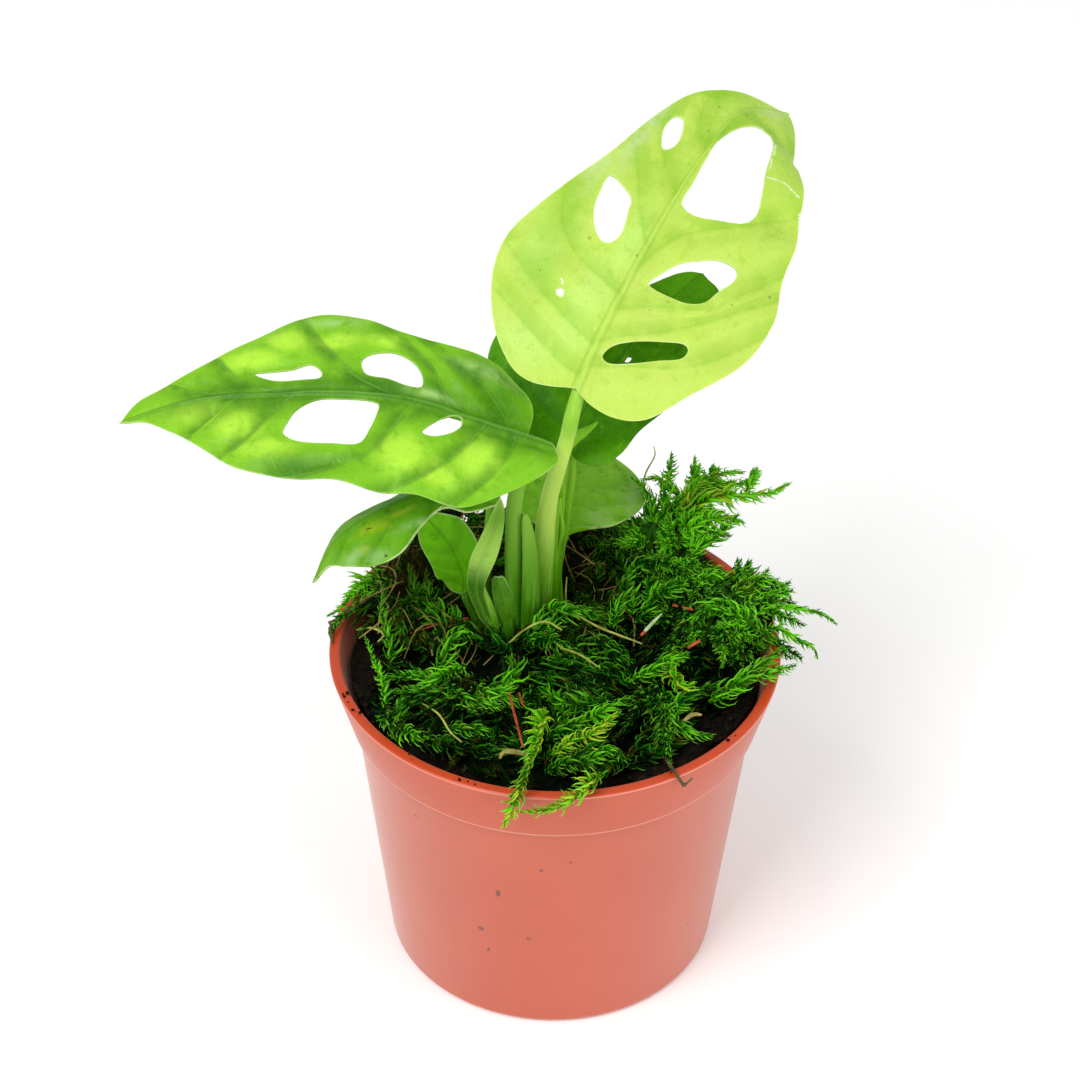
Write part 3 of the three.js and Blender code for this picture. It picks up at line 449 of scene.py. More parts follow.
def pot_finish():
    """Terracotta-coloured plastic: satin, faintly clouded and deeper on the rim, with painted highlights as
    pale lines along its lip and the collar's foot.
    """
    f = Finish("terracotta_plastic", (187, 79, 45), specular=0.65)
    place = f.place()
    cloud = f.noise(place, 55, 3.0, 0.5)
    fine = f.noise(place, 2600, 3.0, 0.6)
    flow = f.noise(f.scaled(place, (1, 1, 0.12)), 420, 3.0, 0.6)
    f.cover((191, 84, 51), f.rise(cloud, 0.35, 0.7))
    f.cover((198, 60, 2), f.above(POT_H - 0.22, POT_H - 0.06), 0.95)
    # painted highlights: thin pale lines where the collar's lower edge and the rim's outer lip catch the
    # light
    for edge, half_width, share in ((COLLAR_FOOT + COLLAR_EDGE, 0.22, 0.45), (POT_H - 0.27, 0.14, 0.6)):
        f.cover((236, 158, 134), f.rise(f.off(f.height(), edge * MM), half_width * MM, 0.05 * MM), share)
    f.cover((96, 44, 24), f.rise(f.noise(place, 640, 0.0), 0.855, 0.865), 0.8)
    f.relief(f.math("ADD", f.times(fine, 0.5), flow), 0.02, 0.35)
    f.roughness(f.times(f.math("ADD", cloud, flow), 0.5), 0.3, 0.44)
    f.tune("Sheen", Weight=0.35, Roughness=0.35, Tint=(1, 0.86, 0.82, 1))
    f.tune("Subsurface", Weight=0.06, Radius=(1.0, 0.4, 0.2), Scale=1.5 * MM)
    return f.done()


def litter_finish(name, dark, light):
    """Needles, straw and roots: one tone streaked with another."""
    f = Finish(name, dark, specular=0.35, roughness=0.6)
    streaks = f.noise(f.place(), 700, 4.0, 0.6)
    f.cover(light, f.rise(streaks, 0.35, 0.65))
    f.relief(streaks, 0.06, 0.6)
    return f.done()


# ------------------------------------------------------------------ pot and soil
RIM_R = 30
POT_H = 48.3
COLLAR_H = 8.8
COLLAR_FOOT = POT_H - COLLAR_H
COLLAR_FOOT_R = 27.7
BODY_TOP_R = 26.84
BASE_R = 22.6
BASE_FILLET = 1.2
RIM_EDGE = 0.35
COLLAR_EDGE = 0.22
RIM_WALL = 1.5
INNER_WALL_R = RIM_R - RIM_WALL
COLLAR_WALL = 1.3
BODY_WALL = 1.2
FLOOR_T = 1.6
DRAIN_COUNT, DRAIN_RING_R, DRAIN_R = 6, 14, 2.4
POT_STEPS = 176
SOIL_TOP = 44
SOIL_RINGS, SOIL_STEPS = 40, 120
SOIL_GAP = 0.3  # between the soil and the pot
BANK_RISE = 2.7
SOIL_BANKS = [(212, 36), (-44, 34)]  # each bank's direction and width, in degrees
BARE_LEFT, BARE_RIGHT = 172, -38  # the directions in which the moss leaves soil bare
CRUMB_COUNT, CRUMB_SIZE = 300, (0.25, 0.85)
RIM_CRUMBS = [(202, 7), (208, 5), (232, 4), (248, 5), (300, 2), (322, 3)]  # direction and count


def body_r(z):
    return mix(BASE_R, BODY_TOP_R, z / COLLAR_FOOT)


def collar_r(z):
    return mix(COLLAR_FOOT_R, RIM_R, (z - COLLAR_FOOT) / COLLAR_H)


def arc(centre_r, centre_z, radius, start, end, steps=5):
    """Profile points [r, z] round part of a circle, in degrees from the outward direction."""
    turns = [math.radians(mix(start, end, k / steps)) for k in range(steps + 1)]
    return [(centre_r + radius * math.cos(a), centre_z + radius * math.sin(a)) for a in turns]


def pot_profile():
    step = COLLAR_FOOT_R - BODY_TOP_R
    return [
        *arc(BASE_R - BASE_FILLET, BASE_FILLET, BASE_FILLET + 0.03, -90, -3),
        (BODY_TOP_R - 0.05, COLLAR_FOOT - 0.4),
        (BODY_TOP_R + 0.05, COLLAR_FOOT - 0.06),
        (BODY_TOP_R + step * 0.4, COLLAR_FOOT),
        *arc(COLLAR_FOOT_R - COLLAR_EDGE, COLLAR_FOOT + COLLAR_EDGE, COLLAR_EDGE, -80, 8),
        *arc(RIM_R - RIM_EDGE, POT_H - RIM_EDGE, RIM_EDGE, 5, 90),
        *arc(RIM_R - RIM_WALL + RIM_EDGE, POT_H - RIM_EDGE, RIM_EDGE, 90, 180),
        (collar_r(COLLAR_FOOT + 1.5) - COLLAR_WALL, COLLAR_FOOT + 1.5),
        (body_r(COLLAR_FOOT - 1) - BODY_WALL, COLLAR_FOOT - 1),
        (body_r(FLOOR_T) - BODY_WALL, FLOOR_T),
    ]


def spin_profile(bm, profile, steps):
    verts = [bm.verts.new((r, 0, z)) for r, z in profile]
    edges = [bm.edges.new(pair) for pair in zip(verts, verts[1:])]
    bmesh.ops.spin(bm, geom=verts + edges, cent=(0, 0, 0), axis=UP, angle=2 * math.pi, steps=steps,
                   use_merge=True)


def build_pot():
    """The wall is spun; each floor face is filled between its ring and the drain holes."""
    bm = bmesh.new()
    spin_profile(bm, pot_profile(), POT_STEPS)
    rings = [[e for e in bm.edges if e.is_boundary and abs(e.verts[0].co.z - z) < 0.05] for z in (0, FLOOR_T)]
    for i in range(DRAIN_COUNT):
        turn = Matrix.Rotation(2 * math.pi * i / DRAIN_COUNT, 4, "Z")
        loops = []
        for ring, z in zip(rings, (rings[0][0].verts[0].co.z, FLOOR_T)):
            spot = turn @ Matrix.Translation((DRAIN_RING_R, 0, z))
            made = bmesh.ops.create_circle(bm, segments=24, radius=DRAIN_R, matrix=spot)
            loop = list({e for v in made["verts"] for e in v.link_edges})
            loops += loop
            ring += loop
        bmesh.ops.bridge_loops(bm, edges=loops)
    for ring in rings:
        bmesh.ops.triangle_fill(bm, edges=ring, use_beauty=True)
    point_outwards(bm)
    finish_piece("pot_wall", bm, [pot_finish()], ["pot"], sharp=50)


def soil_height(x, y):
    """Lumpy, and banked up against the wall at the left and right front."""
    turn = math.degrees(math.atan2(y, x))
    bank = sum(math.exp(-(turn_between(turn, centre) / width) ** 2) for centre, width in SOIL_BANKS)
    bank *= BANK_RISE * smooth_step(math.hypot(x, y), 19, 27)
    lumps = noise.noise(Vector((x, y, 3)) * 0.35) * 0.7 + noise.noise(Vector((x, y, 9)) * 0.9) * 0.45
    return SOIL_TOP + bank + lumps + noise.noise(Vector((x, y, 5)) * 2.6) * 0.28


def build_soil():
    bm = bmesh.new()
    inner = collar_r(SOIL_TOP) - COLLAR_WALL - SOIL_GAP - 0.05
    low = FLOOR_T + SOIL_GAP
    profile = [(0, low), (body_r(low) - BODY_WALL - 0.7, low),
               (body_r(COLLAR_FOOT - 1) - BODY_WALL - 0.4, COLLAR_FOOT - 1),
               (collar_r(COLLAR_FOOT + 1.5) - COLLAR_WALL - 0.4, COLLAR_FOOT + 1.5),
               *[(inner * (1 - k / SOIL_RINGS), SOIL_TOP) for k in range(SOIL_RINGS)], (0, SOIL_TOP)]
    spin_profile(bm, profile, SOIL_STEPS)
    bmesh.ops.remove_doubles(bm, verts=bm.verts, dist=0.005)
    for v in bm.verts:
        if v.co.z > SOIL_TOP - 0.01:
            v.co.z = soil_height(v.co.x, v.co.y)
    point_outwards(bm)
    scatter_crumbs(bm, random_stream(17))
    scatter_rim_crumbs(bm, random_stream(29))
    finish_piece("potting_soil", bm, [soil_finish()], ["soil"], sharp=60)


def scatter_crumbs(bm, draw):
    """Crumbs of peat, most of them where the moss leaves the soil bare."""
    for _ in range(CRUMB_COUNT):
        bare = next(draw) < 0.6
        centre = BARE_LEFT if next(draw) < 0.5 else BARE_RIGHT
        turn = math.radians(centre + (next(draw) - 0.5) * 60 if bare else next(draw) * 360)
        reach = mix(18, 27, next(draw)) if bare else 27 * math.sqrt(next(draw))
        x, y = polar(turn, reach)
        r = mix(*CRUMB_SIZE, next(draw) ** 2)
        add_crumb(bm, draw, x, y, soil_height(x, y) + r * 0.35, r)


def scatter_rim_crumbs(bm, draw):
    """Bits of peat left lying on the pot's rim, mostly at the left front."""
    for centre, count in RIM_CRUMBS:
        for _ in range(count):
            turn = math.radians(centre + 5 * (next(draw) - 0.5))
            x, y = polar(turn, mix(28.7, 29.6, next(draw)))
            r = mix(0.07, 0.36, next(draw) ** 3)
            add_crumb(bm, draw, x, y, POT_H + r * 0.2, r)


def add_crumb(bm, draw, x, y, z, r):
    lump = bmesh.ops.create_icosphere(bm, subdivisions=1, radius=r)["verts"]
    squash = Matrix.Diagonal((1, mix(0.6, 1.1, next(draw)), mix(0.5, 0.9, next(draw)), 1))
    spin = Matrix.Rotation(next(draw) * 6.28, 4, (next(draw), next(draw), 1))
    bmesh.ops.transform(bm, matrix=Matrix.Translation((x, y, z)) @ spin @ squash, verts=lump)


# ------------------------------------------------------------------ leaf blades
BLADE_T = 0.46  # thickness of a blade at its middle
RIM_T = 0.26  # and at its rim
VEIN_SWEEP = 2
END_GAP = 40  # the gap given to a point past the last vein
MARGIN_STEPS, HOLE_STEPS, VEIN_STEPS = 400, 160, 14
HOLE_SIDES = 44
# A blade's blotches are its own paler patches; its sheen marks are painted highlight and its soft dark marks
# painted shade.
PLAIN_BLADE = {"wave": (0, 9, 0), "ridge": 0.5, "holes": [], "dents": [], "blotch": [], "painted_sheen": [], "painted_shade": []}


class BladeSurface:
    """Maps a blade's flat coordinates to space: v in mm along the midrib, u across it, left negative."""

    def __init__(self, blade):
        self.line = np.array(catmull_rom(blade["rib"]))
        self.run = lengths(self.line)
        self.length = self.run[-1]
        self.part = np.linspace(0, 1, len(self.line))
        self.tangents = unit(np.gradient(self.line, axis=0))
        self.face = [np.array(f, float) for f in blade["face"]]
        self.fold, self.curl, self.wave = blade["fold"], blade["curl"], blade["wave"]

    def at(self, v, u, lift):
        inside = np.clip(v, 0, self.length)
        t = np.interp(inside, self.run, self.part)
        tangent = unit(read_off(inside, self.run, self.tangents))
        origin = read_off(inside, self.run, self.line) + tangent * (v - inside)[:, None]
        up = self.face[0] * (1 - t)[:, None] + self.face[1] * t[:, None]
        up = unit(up - tangent * np.sum(up * tangent, 1)[:, None])
        across = np.cross(tangent, up)
        left = u < 0
        start = np.radians(np.where(left, along(self.fold[0], t), along(self.fold[1], t)))
        bend = np.where(left, along(self.curl[0], t), along(self.curl[1], t))
        width = np.abs(u)
        angle = start + bend * width
        high, long, shift = self.wave
        ripple = high * np.minimum(1, (width / 14) ** 2)
        ripple = ripple * np.sin(2 * np.pi * v / long + shift + np.where(left, 0, 1.7))
        out = (np.sin(angle) - np.sin(start)) / bend - lift * np.sin(angle)
        height = (np.cos(start) - np.cos(angle)) / bend + ripple + lift * np.cos(angle)
        return origin + across * (np.where(left, -1, 1) * out)[:, None] + up * height[:, None]


def margin_line(points, length):
    return evenly(catmull_rom([(0, 0), *points, (length, 0)], centripetal=True), MARGIN_STEPS)


def hole_line(points, steps):
    closed = catmull_rom(points, closed=True, centripetal=True)
    return evenly([*closed, closed[0]], steps)[:-1]


def arching_veins(half_width, length, count, side):
    """Lateral veins for a blade with no vein lines of its own: they leave the midrib and sweep forward."""
    veins = []
    for k in range(count):
        foot = length * (0.03 + 0.8 * (k + 0.3) / count)
        width = half_width * math.sin(math.pi * min(0.95, foot / length + 0.18)) ** 0.6
        veins.append([(foot, 0), (foot + 0.05 * length, side * 0.45 * width),
                      (foot + 0.2 * length, side * 0.95 * width)])
    return veins


def vein_fields(v, u, veins):
    """Per point: a coordinate that is whole on each lateral vein, and the gap between its two veins."""
    phase, gap = np.zeros(len(v)), np.full(len(v), float(END_GAP))
    for side in (-1, 1):
        mine = np.nonzero((u < 0) == (side < 0))[0]
        pick = np.arange(len(mine))
        rows = []
        for vein in veins[side]:
            line = evenly(catmull_rom(vein), VEIN_STEPS)
            line = np.vstack([line, line[-1] + (line[-1] - line[-2]) * 20])
            step = np.diff(line, axis=0)
            rel = np.stack([v[mine], u[mine]], 1)[:, None] - line[None, :-1]
            share = np.clip((rel * step).sum(2) / (step * step).sum(1), 0, 1)
            apart = np.linalg.norm(rel - share[:, :, None] * step, axis=2)
            best = apart.argmin(1)
            turn = step[best, 0] * rel[pick, best, 1] - step[best, 1] * rel[pick, best, 0]
            rows.append(np.where(-side * turn >= 0, 1, -1) * apart[pick, best])
        rows = np.array(rows)
        behind = np.cumprod(rows >= 0, axis=0).sum(0)
        last = len(rows) - 1
        low = rows[np.clip(behind - 1, 0, last), pick]
        high = rows[np.clip(behind, 0, last), pick]
        room = np.maximum(low - high, 0.05)
        beyond_first = np.where(behind > last, last + low / END_GAP, behind - 1 + low / room)
        phase[mine] = np.where(behind == 0, high / END_GAP, beyond_first)
        gap[mine] = np.where((behind == 0) | (behind > last), END_GAP, room)
    return phase, gap


def flat_blade(blade, length):
    """A thin slab over the blade's flat outline; its rows sweep forward like the lateral veins."""
    bm = bmesh.new()
    bmesh.ops.create_grid(bm, x_segments=blade["rows"], y_segments=2 * blade["cols"], size=1)
    sides = {side: margin_line(blade[key], length) for side, key in ((-1, "left"), (1, "right"))}
    for vert in bm.verts:
        s, t = (vert.co.x + 1) / 2, abs(vert.co.y) ** 1.3
        margin = sides[-1 if vert.co.y < 0 else 1]
        edge_v, edge_u = read_off([s * MARGIN_STEPS], np.arange(len(margin)), margin)[0]
        vert.co = (mix(length * s ** VEIN_SWEEP, edge_v, t), edge_u * t, BLADE_T / 2)
    bmesh.ops.remove_doubles(bm, verts=bm.verts, dist=0.001)
    bmesh.ops.solidify(bm, geom=bm.faces, thickness=BLADE_T)
    point_outwards(bm)
    level = sum(v.co.z for v in bm.verts) / len(bm.verts)
    bmesh.ops.translate(bm, vec=(0, 0, -level), verts=bm.verts)
    return bm, sides


def punch_holes(bm, loops):
    """Cuts each hole loop through the flat slab."""
    cutter = bmesh.new()
    for loop in loops:
        made = bmesh.ops.create_circle(cutter, segments=len(loop), radius=1, cap_ends=True)["verts"]
        for vert, (v, u) in zip(made, loop):
            vert.co = (v, u, -1)
        face = made[0].link_faces[0]
        made = bmesh.ops.extrude_face_region(cutter, geom=[face], use_keep_orig=True)["geom"]
        lid = [part for part in made if isinstance(part, bmesh.types.BMVert)]
        bmesh.ops.translate(cutter, vec=UP * 2, verts=lid)
    point_outwards(cutter)
    slab, tool = [add_object(label, to_mesh(label, shape))
                  for label, shape in (("blade_slab", bm), ("hole_cutter", cutter))]
    cut = slab.modifiers.new("holes", "BOOLEAN")
    cut.operation, cut.solver, cut.object = "DIFFERENCE", "MANIFOLD", tool
    graph = bpy.context.evaluated_depsgraph_get()
    result = bmesh.new()
    result.from_object(slab, graph)
    for item in (slab, tool):
        mesh = item.data
        bpy.data.objects.remove(item)
        bpy.data.meshes.remove(mesh)
    return result


def rim_distances(v, u, lines):
    """How far each point is from the nearest cut edge, outer margin or hole."""
    dense = np.vstack(lines)
    tree = kdtree.KDTree(len(dense))
    for i, (a, b) in enumerate(dense):
        tree.insert((a, b, 0), i)
    tree.balance()
    return np.array([tree.find((a, b, 0))[2] for a, b in zip(v, u)])


def paint(v, u, marks):
    """Soft marks on a blade, each given as v, u, radius along and radius across."""
    total = np.zeros(len(v))
    for mark in marks:
        total = np.maximum(total, hump(v, u, *mark))
    return total


def blade_mesh(blade):
    """The finished blade as a bmesh in space, with the fields that its materials read."""
    blade = {**PLAIN_BLADE, **blade}
    surface = BladeSurface(blade)
    bm, sides = flat_blade(blade, surface.length)
    if blade["holes"]:
        bm = punch_holes(bm, [hole_line(hole, HOLE_SIDES) for hole in blade["holes"]])
    v, u, z = np.array([vert.co for vert in bm.verts]).T
    rim = rim_distances(v, u, [*sides.values(), *[hole_line(hole, HOLE_STEPS) for hole in blade["holes"]]])
    veins = blade.get("veins")
    if veins is None:
        veins = {side: arching_veins(np.abs(line[:, 1]).max(), surface.length, blade["vein_count"], side)
                 for side, line in sides.items()}
    phase, gap = vein_fields(v, u, veins)
    vein_mm = np.abs((phase + VEIN_SHIFT) % 1 - 0.5) * gap
    along_part = v / surface.length
    inner = smooth_step(rim, 0.2, 2.5)
    relief = blade["quilt"] * (smooth_step(vein_mm, 0, 3.4) - 0.55) * inner * smooth_step(np.abs(u), 0.3, 3)
    rib = np.interp(along_part, (0, 0.6, 1), (1, 0.45, 0.3)) * blade["ridge"]
    relief += 0.55 * rib * np.exp(-(u / rib) ** 2) - 0.5 * rib * np.exp(-((np.abs(u) - 2.1 * rib) / rib) ** 2)
    relief += 0.16 * np.array([noise.noise(Vector((a, b, 7)) * 0.3) for a, b in zip(v, u)]) * inner
    for *mark, depth in blade["dents"]:
        relief += depth * hump(v, u, *mark)
    ridge = 0.1 * np.exp(-(vein_mm / 0.35) ** 2)
    thick = np.interp(rim, (0, 1.2), (RIM_T / BLADE_T, 1))
    places = surface.at(v, u, z * thick + relief - np.where(z < 0, ridge, 0.4 * ridge))
    layers = {"vein_phase": phase, "vein_gap": gap, "across": u, "rim": rim, "along_part": along_part}
    for key in ("blotch", "painted_sheen", "painted_shade"):
        layers[key] = paint(v, u, blade[key])
    stores = {key: bm.verts.layers.float.new(key) for key in layers}
    flat = bm.verts.layers.float_vector.new("flat")
    for face in bm.faces:
        face.material_index = 1 if face.normal.z < -0.5 else 0
    for i, vert in enumerate(bm.verts):
        vert.co = places[i]
        vert[flat] = (v[i], u[i], 0)
        for key, store in stores.items():
            vert[store] = layers[key][i]
    point_outwards(bm)
    return bm, surface


# ------------------------------------------------------------------ stalks
FOOT_Z = 37.5
FOOT_R = 0.8
RIB_REACH = 0.92  # how far the midrib runs along its blade


def tube(bm, route, sides=14, front=(0, -1, 0), groove=0.0, step=0.7, flat=1.0):
    """A stem along points [x, y, z, radius]; front is the side that a groove runs down."""
    line = np.array(catmull_rom(route, density=16))
    run = lengths(line[:, :3])
    count = max(4, int(run[-1] / step))
    stations = evenly(line[:, :3], count)
    radii = np.interp(np.linspace(0, 1, count + 1), run / run[-1], line[:, 3])
    tangents = unit(np.gradient(stations, axis=0))
    front = Vector(front)
    frames = []
    for place, tangent, radius in zip(stations, tangents, radii):
        ahead = Vector(tangent)
        fore = (front - ahead * ahead.dot(front)).normalized()
        side = fore.cross(ahead).normalized()
        turn = Matrix((side, fore, ahead)).transposed().to_4x4()
        scale = Matrix.Diagonal((radius, radius * flat, radius, 1))
        frames.append(Matrix.Translation(Vector(place)) @ turn @ scale)
    verts = bmesh.ops.create_circle(bm, segments=sides, radius=1, cap_ends=True)["verts"]
    for vert in verts:
        off_front = math.atan2(vert.co.x, vert.co.y)
        vert.co *= 1 - groove * math.exp(-((off_front / 0.55) ** 2))
    face = verts[0].link_faces[0]
    bmesh.ops.transform(bm, matrix=frames[0], verts=verts)
    for before, after in zip(frames, frames[1:]):
        geom = bmesh.ops.extrude_face_region(bm, geom=[face], use_keep_orig=before is frames[0])["geom"]
        face = next(g for g in geom if isinstance(g, bmesh.types.BMFace))
        bmesh.ops.transform(bm, matrix=after @ before.inverted(), verts=face.verts)


def tube_piece(routes, **settings):
    bm = bmesh.new()
    for route in routes:
        tube(bm, route, **settings)
    point_outwards(bm)
    return bm


def add_mesh(bm, mesh):
    """Adds a mesh that nothing else needs."""
    bm.from_mesh(mesh)
    bpy.data.meshes.remove(mesh)


def join(bm, other, material_index):
    """Adds another bmesh to this one, with materials of its own."""
    for face in other.faces:
        face.material_index += material_index
    add_mesh(bm, to_mesh("part", other))


def rib_route(surface, stalk_route, rib_r, sink):
    """The stalk's route, carried on under the blade as its midrib."""
    parts = np.array([0.04, 0.1, 0.2, 0.42, 0.66, 0.85, 1])
    v = surface.length * parts * RIB_REACH
    radii = mix(rib_r, 0.18, parts ** 0.7)
    places = surface.at(v, np.full(len(v), 0.001), -BLADE_T / 2 - radii * sink)
    return [*stalk_route, *[(*place, r) for place, r in zip(places, radii)]]


def foot(x, y):
    return [(x, y, FOOT_Z, FOOT_R), (x, y, SOIL_TOP - 1, FOOT_R + 0.1)]


